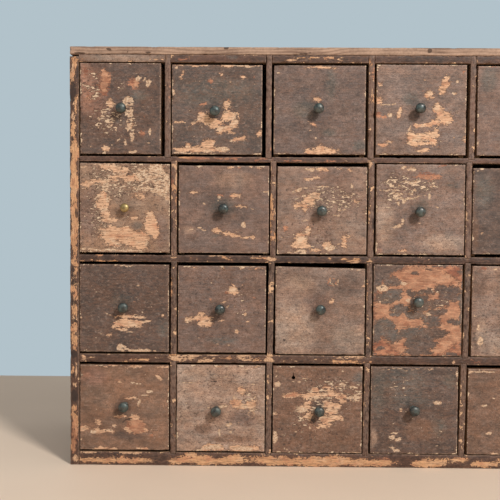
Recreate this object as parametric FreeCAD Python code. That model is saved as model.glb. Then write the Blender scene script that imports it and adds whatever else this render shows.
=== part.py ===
import FreeCAD, Part
import math
import os

# Seed storage cabinet: a table-top nest of drawers, five columns by four rows.
# Millimetres. X runs left to right, Y from the front to the back, Z up.
# The origin is the middle of the underside, halfway between the front and the back.
# Rows are counted from the top and columns from the left, so drawer_r1c1 is at the top left.

Vector = FreeCAD.Vector

# ---- carcass sizes ----
width = 702.0
depth = 254.0
height = 585.0
columns = 5
rows = 4
side_board = 12.7
top_board = 11.0
bottom_board = 19.0
shelf_boards = {"upper": 7.5, "middle": 10.0, "lower": 11.5}
shelf_names = ["upper", "middle", "lower"]
divider_board = 8.2
back_board = 8.0
back_boards = 6
back_board_gap = 0.6
back_board_lift = 3.0
back_rebate = 6.0
top_rail_height = 10.5
top_rail_depth = 18.0
bottom_row_loss = 2.5
shelf_housing = 4.0
shelf_housing_stop = 12.0
divider_housing = 2.0
worn_corner_drop = 2.8
worn_corner_reach = 16.0

# How far each divider stands from even spacing, at its top and at its foot.
divider_shift = {
    1: [(-9.5, -9.5), (-6.5, -6.5), (-2.0, -2.0), (1.0, 0.0)],
    2: [(-0.5, -0.5), (0.5, 0.5), (-0.5, -0.5), (-2.5, -2.5)],
    3: [(-0.5, -0.5), (-1.0, -2.5), (-1.5, -1.5), (-2.0, -4.0)],
    4: [(-1.0, -1.0), (-3.0, -4.0), (-3.0, -4.5), (-5.5, -7.0)],
}

# ---- drawer sizes ----
front_thickness = 12.0
front_lap = 4.0
front_ease = 0.8
drawer_side = 7.0
drawer_back = 7.0
drawer_bottom = 4.0
drawer_seat = 0.3
drawer_stop_gap = 0.5
side_step_down = 2.0
back_step_down = 4.0
back_inset = 6.0
back_housing = 2.0
bottom_groove = 3.0
bottom_groove_rise = 7.5
tails = 2
tail_root = 26.0
tail_slope = 1.0 / 6.0

# ---- knob sizes ----
knob_head = 14.5
knob_projection = 17.0
knob_rose = 10.4
knob_rose_height = 1.6
knob_neck = 5.4
knob_neck_height = 6.0
knob_crown = 8.0
knob_edge_height = 3.0
knob_cove = 1.0
knob_flare = 2.5
knob_spigot = 4.2
knob_spigot_length = 9.0
knob_hole_clearance = 0.1
knob_sides = 12
small_knob_share = 0.85
small_knobs = ["r2c1"]

# The gaps round each drawer's front, how far it is pushed in, and how far its knob is off centre.
usual_fit = {"left": 1.5, "right": 1.6, "top": 3.0, "top_slope": 0.0, "under": 3.0, "set_back": 0.8,
             "knob_x": 0.0, "knob_z": 1.0}
odd_fits = {
    "r1c1": {"right": 5.5, "top": 1.0, "set_back": 1.2, "knob_x": 2.5, "knob_z": -0.5},
    "r1c2": {"right": 5.0, "knob_x": -2.5, "knob_z": -3.0},
    "r1c3": {"left": 2.7, "right": 3.4, "under": 3.8, "set_back": 1.5, "knob_x": -2.0},
    "r1c4": {"left": 2.8, "right": 3.8, "top": 1.5, "under": 4.0, "knob_x": -3.0},
    "r1c5": {"left": 2.0, "under": 3.7, "set_back": 0.5},
    "r2c1": {"left": 0.8, "top": 1.8, "top_slope": 1.3, "set_back": 0.4, "knob_x": 1.5, "knob_z": 0.0},
    "r2c2": {"left": 2.2, "top": 4.7, "set_back": 1.2},
    "r2c3": {"top": 5.2, "under": 2.3, "set_back": 1.6, "knob_x": -1.0, "knob_z": -0.5},
    "r2c4": {"left": 2.8, "right": 1.1, "top": 1.3, "under": 2.5, "knob_x": -2.0, "knob_z": -3.0},
    "r2c5": {"left": 1.8, "top": 6.0, "under": 4.0, "set_back": 1.8},
    "r3c1": {"left": 0.8, "right": 2.6, "top": 3.7, "set_back": 0.4, "knob_z": 2.0},
    "r3c2": {"left": 1.8, "right": 1.9, "top": 4.9, "set_back": 1.2, "knob_x": -2.0},
    "r3c3": {"top": 5.0, "top_slope": 2.5, "under": 1.4, "set_back": 1.5, "knob_z": 2.5},
    "r3c4": {"right": 1.1, "top": 1.0, "under": 0.6, "set_back": 0.0, "knob_x": -1.0, "knob_z": 12.5},
    "r3c5": {"left": 2.2, "top": 2.2, "under": 0.6},
    "r4c1": {"left": 0.8, "top": 4.0, "under": 2.5, "knob_x": 0.5, "knob_z": 3.0},
    "r4c2": {"left": 0.8, "right": 0.8, "under": 1.8, "set_back": 0.4, "knob_x": -6.0, "knob_z": -2.0},
    "r4c3": {"left": 1.1, "right": 0.8, "top": 3.7, "under": 0.6, "knob_x": 2.0, "knob_z": 0.0},
    "r4c4": {"left": 1.3, "top": 3.2, "under": 0.6, "set_back": 0.6, "knob_x": -1.5, "knob_z": 2.0},
    "r4c5": {"left": 2.3, "top": 5.3, "under": 0.6, "set_back": 1.0},
}

# The worn, drop-shaped hole through one front, by its place from the knob.
holed_drawer = "r4c3"
hole_from_knob_x = -36.0
hole_from_knob_z = 45.0
hole_radius = 2.6
hole_length = 11.0

# ---- levels and places that follow ----
left_face = -width / 2
right_face = width / 2
front_face = -depth / 2
back_face = depth / 2
inner_left = left_face + side_board
inner_right = right_face - side_board
grid_back = back_face - back_board
top_underside = height - top_board
stack = bottom_board + sum(shelf_boards.values()) + top_rail_height + top_board
bay_height = (height - stack + bottom_row_loss) / rows
bay_width = (inner_right - inner_left - (columns - 1) * divider_board) / columns


def box(x0, x1, y0, y1, z0, z1):
    return Part.makeBox(x1 - x0, y1 - y0, z1 - z0, Vector(x0, y0, z0))


def prism_along_y(outline, y0, y1):
    """A solid from (x, z) corners, drawn through from y0 to y1."""
    corners = [Vector(x, y0, z) for x, z in outline]
    face = Part.Face(Part.makePolygon(corners + corners[:1]))
    return face.extrude(Vector(0, y1 - y0, 0))


def prism_along_x(outline, x0, x1):
    """A solid from (y, z) corners, drawn through from x0 to x1."""
    corners = [Vector(x0, y, z) for y, z in outline]
    face = Part.Face(Part.makePolygon(corners + corners[:1]))
    return face.extrude(Vector(x1 - x0, 0, 0))


def cut_by(board, tools):
    return board.cut(Part.makeCompound(tools)).removeSplitter()


def save(node, solids):
    single = []
    for solid in solids:
        single.extend(solid.Solids)
    shape = single[0] if len(single) == 1 else Part.makeCompound(single)
    shape.exportStep("parts/" + node + ".step")
    print(node, len(single), "solid(s)", round(shape.Volume / 1000.0, 1), "cm3")


# ---- the grid of bays ----
def row_levels():
    """The floor and the ceiling of each row, from the bottom board up."""
    levels = {}
    floor = bottom_board
    for row in range(rows, 0, -1):
        clear = bay_height - (bottom_row_loss if row == rows else 0.0)
        levels[row] = (floor, floor + clear)
        if row > 1:
            floor += clear + shelf_boards[shelf_names[row - 2]]
    return levels


levels = row_levels()


def divider_centre(row, number, at_top):
    even = inner_left + number * bay_width + (number - 0.5) * divider_board
    top_shift, foot_shift = divider_shift[row][number - 1]
    return even + (top_shift if at_top else foot_shift)


def make_divider(row, number):
    """An upright board between two shelves, let into both; in the top row it butts on the top board."""
    floor, ceiling = levels[row]
    foot = floor - divider_housing
    head = top_underside if row == 1 else ceiling + divider_housing
    half = divider_board / 2
    x_foot = divider_centre(row, number, False)
    x_head = divider_centre(row, number, True)
    outline = [(x_foot - half, foot), (x_foot + half, foot), (x_head + half, head), (x_head - half, head)]
    return prism_along_y(outline, front_face, grid_back)


def make_dividers(row):
    return [make_divider(row, number) for number in range(1, columns)]


def bay_sides(row, column):
    """The clear width of a bay, taken at its narrowest."""
    half = divider_board / 2
    left = inner_left
    right = inner_right
    if column > 1:
        left = max(divider_centre(row, column - 1, at_top) for at_top in (True, False)) + half
    if column < columns:
        right = min(divider_centre(row, column, at_top) for at_top in (True, False)) - half
    return left, right


# ---- carcass boards ----
def make_shelf(name, dividers):
    """A shelf with tongues into the sides, stopped short of the front, and housings for the dividers."""
    row_below = shelf_names.index(name) + 2
    underside = levels[row_below][1]
    surface = underside + shelf_boards[name]
    board = box(inner_left - shelf_housing, inner_right + shelf_housing,
                front_face, grid_back, underside, surface)
    stop = front_face + shelf_housing_stop
    notches = [
        box(inner_left - shelf_housing, inner_left, front_face, stop, underside, surface),
        box(inner_right, inner_right + shelf_housing, front_face, stop, underside, surface),
    ]
    return cut_by(board, notches + dividers[row_below - 1] + dividers[row_below])


def make_bottom(dividers):
    board = box(inner_left, inner_right, front_face, grid_back, 0, bottom_board)
    return cut_by(board, dividers[rows])


def make_top():
    return box(left_face, right_face, front_face, back_face, top_underside, height)


def make_top_rails(dividers):
    """Strips under the top board that close the top of each bay in the first row."""
    strip = box(inner_left, inner_right, front_face, front_face + top_rail_depth,
                top_underside - top_rail_height, top_underside)
    return cut_by(strip, dividers[1])


def make_side(at_left, shelves):
    """An end board: housed for the shelves, rebated for the back, worn away at its top front corner."""
    outer, inner = (left_face, inner_left) if at_left else (right_face, inner_right)
    lip = inner - back_rebate if at_left else inner + back_rebate
    x0, x1 = sorted((outer, inner))
    board = box(x0, x1, front_face, back_face, 0, top_underside)
    r0, r1 = sorted((lip, inner))
    rebate = box(r0, r1, grid_back, back_face, 0, top_underside)
    worn = prism_along_x([(front_face, top_underside), (front_face + worn_corner_reach, top_underside),
                          (front_face, top_underside - worn_corner_drop)], x0, x1)
    return cut_by(board, [rebate, worn] + shelves)


def make_back_board(number):
    """One upright board of the back, in the rebates of the sides, with an open joint to the next."""
    start = inner_left - back_rebate
    pitch = (width - 2 * (side_board - back_rebate)) / back_boards
    x0 = start + (number - 1) * pitch
    x1 = x0 + pitch
    if number > 1:
        x0 += back_board_gap / 2
    if number < back_boards:
        x1 -= back_board_gap / 2
    return box(x0, x1, grid_back, back_face, back_board_lift, top_underside)


# ---- drawers ----
def drawer_fit(name):
    fit = dict(usual_fit)
    fit.update(odd_fits[name])
    return fit


def drawer_frame(row, column):
    """The places that every piece of one drawer is worked out from."""
    fit = drawer_fit("r%dc%d" % (row, column))
    left, right = bay_sides(row, column)
    floor, ceiling = levels[row]
    frame = {
        "left": left + fit["left"],
        "right": right - fit["right"],
        "front": front_face + fit["set_back"],
        "rear": grid_back - drawer_stop_gap,
        "foot": floor + drawer_seat,
        "front_foot": floor + fit["under"],
        "top_left": ceiling - fit["top"],
        "top_right": ceiling - fit["top"] - fit["top_slope"],
    }
    frame["side_top"] = min(frame["top_left"], frame["top_right"]) - side_step_down
    frame["inside_front"] = frame["front"] + front_thickness
    frame["panel_foot"] = frame["foot"] + bottom_groove_rise
    frame["panel_top"] = frame["panel_foot"] + drawer_bottom
    frame["back_rear"] = frame["rear"] - back_inset
    frame["knob_x"] = (frame["left"] + frame["right"]) / 2 + fit["knob_x"]
    frame["knob_z"] = (frame["front_foot"] + frame["top_left"]) / 2 + fit["knob_z"]
    return frame


def make_tails(frame, x0, x1):
    """The dovetails on the front end of a drawer side, which the front hides."""
    length = front_thickness - front_lap
    flare = length * tail_slope
    y_root = frame["inside_front"]
    y_end = y_root - length
    pitch = (frame["side_top"] - frame["foot"]) / tails
    solids = []
    for number in range(tails):
        middle = frame["foot"] + (number + 0.5) * pitch
        root = tail_root / 2
        end = root + flare
        outline = [(y_root, middle - root), (y_root, middle + root),
                   (y_end, middle + end), (y_end, middle - end)]
        solids.append(prism_along_x(outline, x0, x1))
    return solids


def make_panel(frame, rear):
    """The thin bottom, held in grooves in the front and the sides."""
    return box(frame["left"] + drawer_side - bottom_groove, frame["right"] - drawer_side + bottom_groove,
               frame["inside_front"] - bottom_groove, rear, frame["panel_foot"], frame["panel_top"])


def make_drawer_back(frame):
    """The back stands on the bottom and is housed in the sides."""
    return box(frame["left"] + drawer_side - back_housing, frame["right"] - drawer_side + back_housing,
               frame["back_rear"] - drawer_back, frame["back_rear"],
               frame["panel_top"], frame["side_top"] - back_step_down)


def make_drawer_side(frame, x0, x1, drawer_back_solid):
    board = box(x0, x1, frame["inside_front"], frame["rear"], frame["foot"], frame["side_top"])
    board = board.multiFuse(make_tails(frame, x0, x1))
    back_slot = drawer_back_solid.fuse(drawer_back_solid.translated(Vector(0, 0, back_step_down)))
    return cut_by(board, [make_panel(frame, frame["rear"]), back_slot])


def make_drop_hole(frame):
    """A drop-shaped hole, round below and pointed above, through the whole front."""
    x = frame["knob_x"] + hole_from_knob_x
    z = frame["knob_z"] + hole_from_knob_z
    reach = hole_length - hole_radius
    rise = hole_radius * hole_radius / reach
    half = (hole_radius ** 2 - rise ** 2) ** 0.5
    y = frame["front"]
    point = Vector(x, y, z + reach)
    left = Vector(x - half, y, z + rise)
    right = Vector(x + half, y, z + rise)
    bowl = Part.Arc(left, Vector(x, y, z - hole_radius), right).toShape()
    outline = Part.Wire([Part.makeLine(point, left), bowl, Part.makeLine(right, point)])
    return Part.Face(outline).extrude(Vector(0, front_thickness, 0))


def make_front(name, frame):
    outline = [(frame["left"], frame["front_foot"]), (frame["right"], frame["front_foot"]),
               (frame["right"], frame["top_right"]), (frame["left"], frame["top_left"])]
    board = prism_along_y(outline, frame["front"], frame["inside_front"])
    rim = [edge for edge in board.Edges if all(abs(v.Y - frame["front"]) < 0.001 for v in edge.Vertexes)]
    board = board.makeChamfer(front_ease, rim)
    sockets = make_tails(frame, frame["left"], frame["left"] + drawer_side)
    sockets += make_tails(frame, frame["right"] - drawer_side, frame["right"])
    hole_mouth = Vector(frame["knob_x"], frame["front"], frame["knob_z"])
    spigot_hole = Part.makeCylinder(knob_spigot / 2 + knob_hole_clearance,
                                    knob_spigot_length + knob_hole_clearance, hole_mouth, Vector(0, 1, 0))
    tools = sockets + [make_panel(frame, frame["rear"]), spigot_hole]
    if name == holed_drawer:
        tools.append(make_drop_hole(frame))
    return cut_by(board, tools)


def make_drawer(name, frame):
    drawer_back_solid = make_drawer_back(frame)
    left_side = make_drawer_side(frame, frame["left"], frame["left"] + drawer_side, drawer_back_solid)
    right_side = make_drawer_side(frame, frame["right"] - drawer_side, frame["right"], drawer_back_solid)
    panel = make_panel(frame, frame["back_rear"])
    return [make_front(name, frame), left_side, right_side, drawer_back_solid, panel]


def knob_ring(frame, radius, reach):
    """A closed ring of points round the knob's axis, with points at its left, right, top and foot."""
    turns = [2 * math.pi * side / knob_sides for side in range(knob_sides + 1)]
    y = frame["front"] - reach
    return [Vector(frame["knob_x"] + radius * math.cos(turn), y, frame["knob_z"] + radius * math.sin(turn))
            for turn in turns]


def make_knob(name, frame):
    """A turned knob, in flats: a spigot into the front, a rose, a waisted neck and a mushroom head."""
    share = small_knob_share if name in small_knobs else 1.0
    rose = knob_rose / 2 * share
    neck = knob_neck / 2 * share
    head = knob_head / 2 * share
    crown = knob_crown / 2 * share
    out = knob_projection * share
    profile = [
        (knob_spigot / 2, -knob_spigot_length),
        (knob_spigot / 2, 0),
        (rose, 0),
        (rose, knob_rose_height),
        (neck, knob_rose_height + knob_cove),
        (neck, knob_neck_height),
        (head, out - knob_edge_height - knob_flare),
        (head, out - knob_edge_height),
        (crown, out),
    ]
    rings = [knob_ring(frame, radius, reach) for radius, reach in profile]
    flats = [Part.Face(Part.makePolygon(ring)) for ring in (rings[0], rings[-1])]
    for near, far in zip(rings, rings[1:]):
        for side in range(knob_sides):
            corners = [near[side], near[side + 1], far[side + 1], far[side], near[side]]
            flats.append(Part.Face(Part.makePolygon(corners)))
    knob = Part.makeSolid(Part.makeShell(flats))
    if knob.Volume < 0:
        knob.reverse()
    return knob


def main():
    os.makedirs("parts", exist_ok=True)
    dividers = {row: make_dividers(row) for row in range(1, rows + 1)}
    shelves = {name: make_shelf(name, dividers) for name in shelf_names}
    for name, shelf in shelves.items():
        save("shelf_" + name, [shelf])
    for row in range(1, rows + 1):
        save("dividers_row_%d" % row, dividers[row])
    save("side_left", [make_side(True, list(shelves.values()))])
    save("side_right", [make_side(False, list(shelves.values()))])
    save("top_board", [make_top()])
    save("top_rails", [make_top_rails(dividers)])
    save("bottom_board", [make_bottom(dividers)])
    for number in range(1, back_boards + 1):
        save("back_board_%d" % number, [make_back_board(number)])
    for row in range(1, rows + 1):
        for column in range(1, columns + 1):
            name = "r%dc%d" % (row, column)
            frame = drawer_frame(row, column)
            save("drawer_" + name, make_drawer(name, frame))
            save("knob_" + name, [make_knob(name, frame)])


main()
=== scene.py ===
import math
import random
import bmesh
import bpy
import numpy as np
from mathutils import Matrix, Vector, noise


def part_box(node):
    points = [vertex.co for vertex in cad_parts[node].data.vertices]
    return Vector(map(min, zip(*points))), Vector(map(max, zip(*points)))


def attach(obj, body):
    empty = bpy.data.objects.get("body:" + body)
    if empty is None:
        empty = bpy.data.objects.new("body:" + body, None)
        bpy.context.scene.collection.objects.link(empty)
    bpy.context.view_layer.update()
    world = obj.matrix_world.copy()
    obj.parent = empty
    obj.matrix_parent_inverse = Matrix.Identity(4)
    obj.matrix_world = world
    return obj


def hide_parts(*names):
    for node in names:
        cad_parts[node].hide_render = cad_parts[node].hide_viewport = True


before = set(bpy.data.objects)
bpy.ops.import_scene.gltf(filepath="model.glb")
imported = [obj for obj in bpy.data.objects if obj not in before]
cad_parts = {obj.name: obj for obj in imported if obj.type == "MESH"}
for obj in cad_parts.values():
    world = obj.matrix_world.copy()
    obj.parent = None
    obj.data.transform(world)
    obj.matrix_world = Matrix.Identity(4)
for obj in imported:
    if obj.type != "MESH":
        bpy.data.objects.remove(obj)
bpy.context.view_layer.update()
mm = 0.001
# a hair's breadth in metres for comparing places, and the play in mm past a rounded arris
hair = 1e-5
play = 0.02
# how far in and out of a mark its depth is kept, in mm
markReach = 6.0
# vector noise starts from the clock unless it is given a seed
noise.seed_set(5)
print("frame loaded:", len(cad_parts), "nodes")


# colours and nodes
def shade(red, green, blue):
    parts = []
    for part in (red, green, blue):
        share = part / 255
        parts.append(share / 12.92 if share <= 0.04045 else ((share + 0.055) / 1.055) ** 2.4)
    return (parts[0], parts[1], parts[2], 1.0)


def put(tree, kind, inputs=None, **settings):
    made = tree.nodes.new("ShaderNode" + kind)
    for name, value in settings.items():
        setattr(made, name, value)
    for key, value in (inputs or {}).items():
        if isinstance(value, bpy.types.NodeSocket):
            tree.links.new(value, made.inputs[key])
        else:
            made.inputs[key].default_value = value
    return made


def calc(tree, operation, first, second=0.0, third=0.0):
    return put(tree, "Math", {0: first, 1: second, 2: third}, operation=operation).outputs[0]


def vectorCalc(tree, operation, first, second):
    return put(tree, "VectorMath", {0: first, 1: second}, operation=operation).outputs[0]


def scaleBy(tree, vector, amounts):
    return vectorCalc(tree, "MULTIPLY", vector, amounts)


# a colour made brighter or darker by one amount
def toned(tree, color, amount):
    return put(tree, "VectorMath", {0: color, "Scale": amount}, operation="SCALE").outputs[0]


def stored(tree, name, kind="Vector"):
    return put(tree, "Attribute", attribute_name=name).outputs[kind]


def partsOf(tree, vector):
    return put(tree, "SeparateXYZ", {0: vector}).outputs


def ease(tree, value, low, high, start=0.0, end=1.0):
    levels = {"Value": value, "From Min": low, "From Max": high, "To Min": start, "To Max": end}
    return put(tree, "MapRange", levels, interpolation_type="SMOOTHSTEP").outputs[0]


def mix(tree, amount, first, second, blend="MIX"):
    made = put(tree, "Mix", data_type="RGBA", blend_type=blend)
    for slot, value in ((0, amount), (6, first), (7, second)):
        if isinstance(value, bpy.types.NodeSocket):
            tree.links.new(value, made.inputs[slot])
        else:
            made.inputs[slot].default_value = value
    return made.outputs[2]


def fleck(tree, place, stretch, detail=3.0, rough=0.55):
    moved = scaleBy(tree, place, stretch)
    made = put(tree, "TexNoise", {"Vector": moved, "Scale": 1.0, "Detail": detail, "Roughness": rough})
    return made.outputs["Fac"]


def newGroup(name, inputs, outputs):
    tree = bpy.data.node_groups.new(name, "ShaderNodeTree")
    for label, kind, value in inputs:
        socket = tree.interface.new_socket(name=label, in_out="INPUT", socket_type="NodeSocket" + kind)
        if value is not None:
            socket.default_value = value
    for label, kind in outputs:
        tree.interface.new_socket(name=label, in_out="OUTPUT", socket_type="NodeSocket" + kind)
    return tree, tree.nodes.new("NodeGroupInput").outputs, tree.nodes.new("NodeGroupOutput").inputs


def useGroup(tree, group, inputs):
    made = tree.nodes.new("ShaderNodeGroup")
    made.node_tree = group
    for key, value in inputs.items():
        if isinstance(value, bpy.types.NodeSocket):
            tree.links.new(value, made.inputs[key])
        else:
            made.inputs[key].default_value = value
    return made.outputs


# pine: growth rings, fibres and slow changes of colour, with the grain along X
def buildPineGrain():
    tree, get, give = newGroup(
        "pineGrain",
        [("Place", "Vector", None), ("Light", "Color", shade(226, 178, 130)),
         ("Dark", "Color", shade(178, 122, 82)), ("Ring Gap", "Float", 3.6)],
        [("Color", "Color"), ("Height", "Float")])
    slow = put(tree, "TexNoise", {"Vector": scaleBy(tree, get["Place"], (0.005, 0.022, 0.022)), "Scale": 1.0,
                                  "Detail": 2.0}).outputs["Color"]
    shifted = vectorCalc(tree, "SUBTRACT", slow, (0.5, 0.5, 0.5))
    bent = vectorCalc(tree, "ADD", scaleBy(tree, shifted, (0, 26, 26)), get["Place"])
    bent = scaleBy(tree, bent, (0.012, 1, 1))
    radius = put(tree, "VectorMath", {0: bent}, operation="LENGTH").outputs["Value"]
    turns = calc(tree, "MULTIPLY", calc(tree, "DIVIDE", radius, get["Ring Gap"]), 6.2832)
    wave = calc(tree, "MULTIPLY_ADD", calc(tree, "SINE", turns), 0.5, 0.5)
    rings = calc(tree, "POWER", wave, 2.4)
    fibres = fleck(tree, get["Place"], (0.045, 2.1, 2.1), 3, 0.6)
    blotch = fleck(tree, get["Place"], (0.01, 0.05, 0.05), 2)
    amount = calc(tree, "MULTIPLY_ADD", rings, 0.42, -0.05)
    amount = calc(tree, "ADD", amount, ease(tree, fibres, 0.3, 0.7, -0.22, 0.3))
    amount = calc(tree, "ADD", amount, ease(tree, blotch, 0.3, 0.7, -0.15, 0.35))
    tree.links.new(mix(tree, amount, get["Light"], get["Dark"]), give["Color"])
    tree.links.new(calc(tree, "MULTIPLY_ADD", rings, -0.4, fibres), give["Height"])
    return tree


# old paint in chipped layers over pine; depths are in millimetres, above nought inside a mark
def buildChippedPaint(grain):
    tree, get, give = newGroup(
        "chippedPaint",
        [("Place", "Vector", None), ("Tint", "Color", shade(120, 96, 84)), ("Bare", "Float", -markReach),
         ("Pale", "Float", -markReach), ("Red", "Float", -markReach), ("Stain", "Float", -markReach),
         ("Edge", "Float", markReach),
         ("Speckle", "Float", 0), ("Chipping", "Float", 0), ("Edge Wear", "Float", 0.5),
         ("Ragged", "Float", 1), ("Film", "Float", 0.5),
         ("Wood Light", "Color", shade(214, 164, 126)), ("Wood Dark", "Color", shade(186, 128, 94)),
         ("Cream", "Color", shade(218, 186, 150))],
        [("Color", "Color"), ("Roughness", "Float"), ("Height", "Float")])
    place = get["Place"]
    # three sizes of noise break up the outline of every mark
    broad = fleck(tree, place, (0.06, 0.12, 0.12), 3, 0.55)
    middle = fleck(tree, place, (0.2, 0.44, 0.44), 3, 0.6)
    fine = fleck(tree, place, (0.42, 1.0, 1.0), 2, 0.6)
    ragged = calc(tree, "MULTIPLY_ADD", broad, 9.0, -4.5)
    ragged = calc(tree, "ADD", ragged, calc(tree, "MULTIPLY_ADD", middle, 14.0, -7.0))
    ragged = calc(tree, "ADD", ragged, calc(tree, "MULTIPLY_ADD", fine, 13.0, -6.5))
    ragged = calc(tree, "MULTIPLY", ragged, get["Ragged"])
    # small loose chips in clusters, fewest where nothing is marked
    flake = fleck(tree, place, (0.14, 0.36, 0.36), 4, 0.62)
    level = calc(tree, "MULTIPLY_ADD", get["Speckle"], -0.14, 0.77)
    level = calc(tree, "MULTIPLY_ADD", get["Chipping"], -0.05, level)
    level = calc(tree, "ADD", level, calc(tree, "MULTIPLY_ADD", broad, -0.3, 0.15))
    loose = calc(tree, "MULTIPLY", calc(tree, "SUBTRACT", flake, level), 16.0)
    # wear along the arrises
    frayed = fleck(tree, place, (0.08, 0.08, 0.08), 4, 0.68)
    frayed = calc(tree, "SUBTRACT", frayed, calc(tree, "MULTIPLY_ADD", get["Edge Wear"], -0.18, 0.62))
    rubbed = calc(tree, "MULTIPLY_ADD", get["Edge"], -1.1, calc(tree, "MULTIPLY", frayed, 22.0))
    marked = calc(tree, "ADD", get["Bare"], ragged)
    depth = calc(tree, "MAXIMUM", calc(tree, "MAXIMUM", marked, loose), rubbed)
    # crumbs of paint that still hold inside a bare place
    crumb = fleck(tree, place, (0.16, 0.42, 0.42), 4, 0.64)
    held = calc(tree, "MULTIPLY_ADD", crumb, -24.0, calc(tree, "MULTIPLY_ADD", get["Speckle"], -1.4, 15.6))
    held = calc(tree, "ADD", held, calc(tree, "MAXIMUM", calc(tree, "MULTIPLY", get["Bare"], 0.3), 0.0))
    depth = calc(tree, "MINIMUM", depth, held)
    bare = ease(tree, depth, 0.0, 0.5)
    # painted shade: a dark band just outside each chip stands in for the shadow of the broken paint edge
    chipEdgeShade = calc(tree, "SUBTRACT", ease(tree, depth, -1.2, -0.1), bare)
    thin = ease(tree, calc(tree, "ADD", depth, calc(tree, "MULTIPLY", middle, 4.0)), -2.5, 2.5)
    paleDepth = calc(tree, "MULTIPLY_ADD", ragged, 0.6, get["Pale"])
    pale = ease(tree, calc(tree, "MINIMUM", paleDepth, held), 0.0, 0.6)
    redDepth = calc(tree, "MULTIPLY_ADD", ragged, 1.1, get["Red"])
    red = ease(tree, calc(tree, "MINIMUM", redDepth, held), -0.8, 1.4)
    stain = ease(tree, calc(tree, "MULTIPLY_ADD", ragged, 0.5, get["Stain"]), -0.3, 0.8)
    # the paint itself: clouds, brush lines, grit, a dusty film and dark spots
    clouds = ease(tree, fleck(tree, place, (0.02, 0.035, 0.035), 3, 0.6), 0.3, 0.7, 0.76, 1.18)
    mottle = ease(tree, fleck(tree, place, (0.1, 0.16, 0.16), 4, 0.66), 0.3, 0.7, 0.78, 1.22)
    streaks = ease(tree, fleck(tree, place, (0.03, 0.8, 0.8), 2, 0.5), 0.3, 0.7, 0.89, 1.1)
    grit = fleck(tree, place, (0.75, 1.15, 1.15), 2, 0.6)
    tone = calc(tree, "MULTIPLY", calc(tree, "MULTIPLY", mottle, streaks), clouds)
    tone = calc(tree, "MULTIPLY", tone, ease(tree, grit, 0.3, 0.7, 0.62, 1.24))
    paint = toned(tree, get["Tint"], tone)
    warmth = ease(tree, fleck(tree, place, (0.03, 0.05, 0.05), 3, 0.6), 0.32, 0.68)
    cast = mix(tree, warmth, (0.92, 0.99, 1.05, 1), (1.06, 0.99, 0.93, 1))
    paint = mix(tree, 1.0, paint, cast, "MULTIPLY")
    film = fleck(tree, place, (0.2, 0.3, 0.3), 4, 0.68)
    busy = calc(tree, "MULTIPLY_ADD", get["Speckle"], 0.7, 0.62)
    dusted = calc(tree, "MULTIPLY", ease(tree, film, 0.52, 0.7), calc(tree, "MULTIPLY", get["Film"], busy))
    paint = mix(tree, dusted, paint, shade(172, 150, 136))
    spots = fleck(tree, place, (0.24, 0.34, 0.34), 4, 0.64)
    spotted = calc(tree, "MULTIPLY", ease(tree, spots, 0.54, 0.68, 0.0, 0.8), busy)
    paint = mix(tree, spotted, paint, shade(58, 46, 42))
    paint = mix(tree, calc(tree, "MULTIPLY", thin, 0.34), paint, shade(148, 106, 84))
    arris = calc(tree, "MULTIPLY", ease(tree, get["Edge"], 0.3, 2.0, 1.0, 0.0), get["Edge Wear"])
    arris = calc(tree, "MULTIPLY", arris, ease(tree, middle, 0.36, 0.6))
    paint = mix(tree, arris, paint, shade(186, 160, 142))
    under = fleck(tree, place, (0.06, 0.14, 0.14), 3, 0.6)
    redPaint = mix(tree, ease(tree, under, 0.38, 0.62), shade(144, 90, 68), shade(194, 136, 104))
    redPaint = toned(tree, redPaint, calc(tree, "MULTIPLY", mottle, streaks))
    redPaint = mix(tree, ease(tree, grit, 0.36, 0.6, 0.5, 0.0), redPaint, shade(104, 74, 62))
    wood = useGroup(tree, grain, {"Place": place, "Light": get["Wood Light"], "Dark": get["Wood Dark"]})
    woodColor = mix(tree, ease(tree, under, 0.5, 0.66, 0.0, 0.6), wood["Color"], get["Cream"])
    rustPatch = fleck(tree, place, (0.06, 0.13, 0.13), 3, 0.6)
    woodColor = mix(tree, ease(tree, rustPatch, 0.5, 0.66, 0.0, 0.6), woodColor, shade(196, 136, 104))
    woodColor = mix(tree, ease(tree, spots, 0.5, 0.7, 0.0, 0.5), woodColor, shade(128, 94, 76))
    scratch = fleck(tree, place, (0.1, 1.5, 1.5), 2, 0.55)
    woodColor = mix(tree, ease(tree, scratch, 0.52, 0.64, 0.0, 0.75), woodColor, shade(110, 79, 62))
    alone = calc(tree, "MULTIPLY", ease(tree, marked, -1.5, 0.0, 1.0, 0.0), 0.85)
    woodColor = mix(tree, alone, woodColor, get["Cream"])
    woodColor = mix(tree, calc(tree, "MULTIPLY", red, 0.7), woodColor, redPaint)
    paleColor = mix(tree, ease(tree, fine, 0.38, 0.62), get["Cream"], shade(178, 140, 112))
    color = mix(tree, red, paint, redPaint)
    # the painted shade round each chip goes over the paint and the red coat
    color = mix(tree, calc(tree, "MULTIPLY", chipEdgeShade, 0.68), color, shade(64, 49, 42))
    color = mix(tree, bare, color, woodColor)
    color = mix(tree, pale, color, paleColor)
    color = mix(tree, calc(tree, "MULTIPLY", stain, 0.8), color, shade(54, 42, 38))
    tree.links.new(color, give["Color"])
    opened = calc(tree, "MAXIMUM", bare, pale)
    worn = ease(tree, grit, 0.3, 0.7, 0.5, 0.66)
    tree.links.new(calc(tree, "MULTIPLY_ADD", opened, 0.24, worn), give["Roughness"])
    height = calc(tree, "MULTIPLY_ADD", opened, -1.0, 1.0)
    height = calc(tree, "MULTIPLY_ADD", wood["Height"], 0.3, height)
    height = calc(tree, "MULTIPLY_ADD", grit, 0.5, height)
    tree.links.new(height, give["Height"])
    return tree


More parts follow.
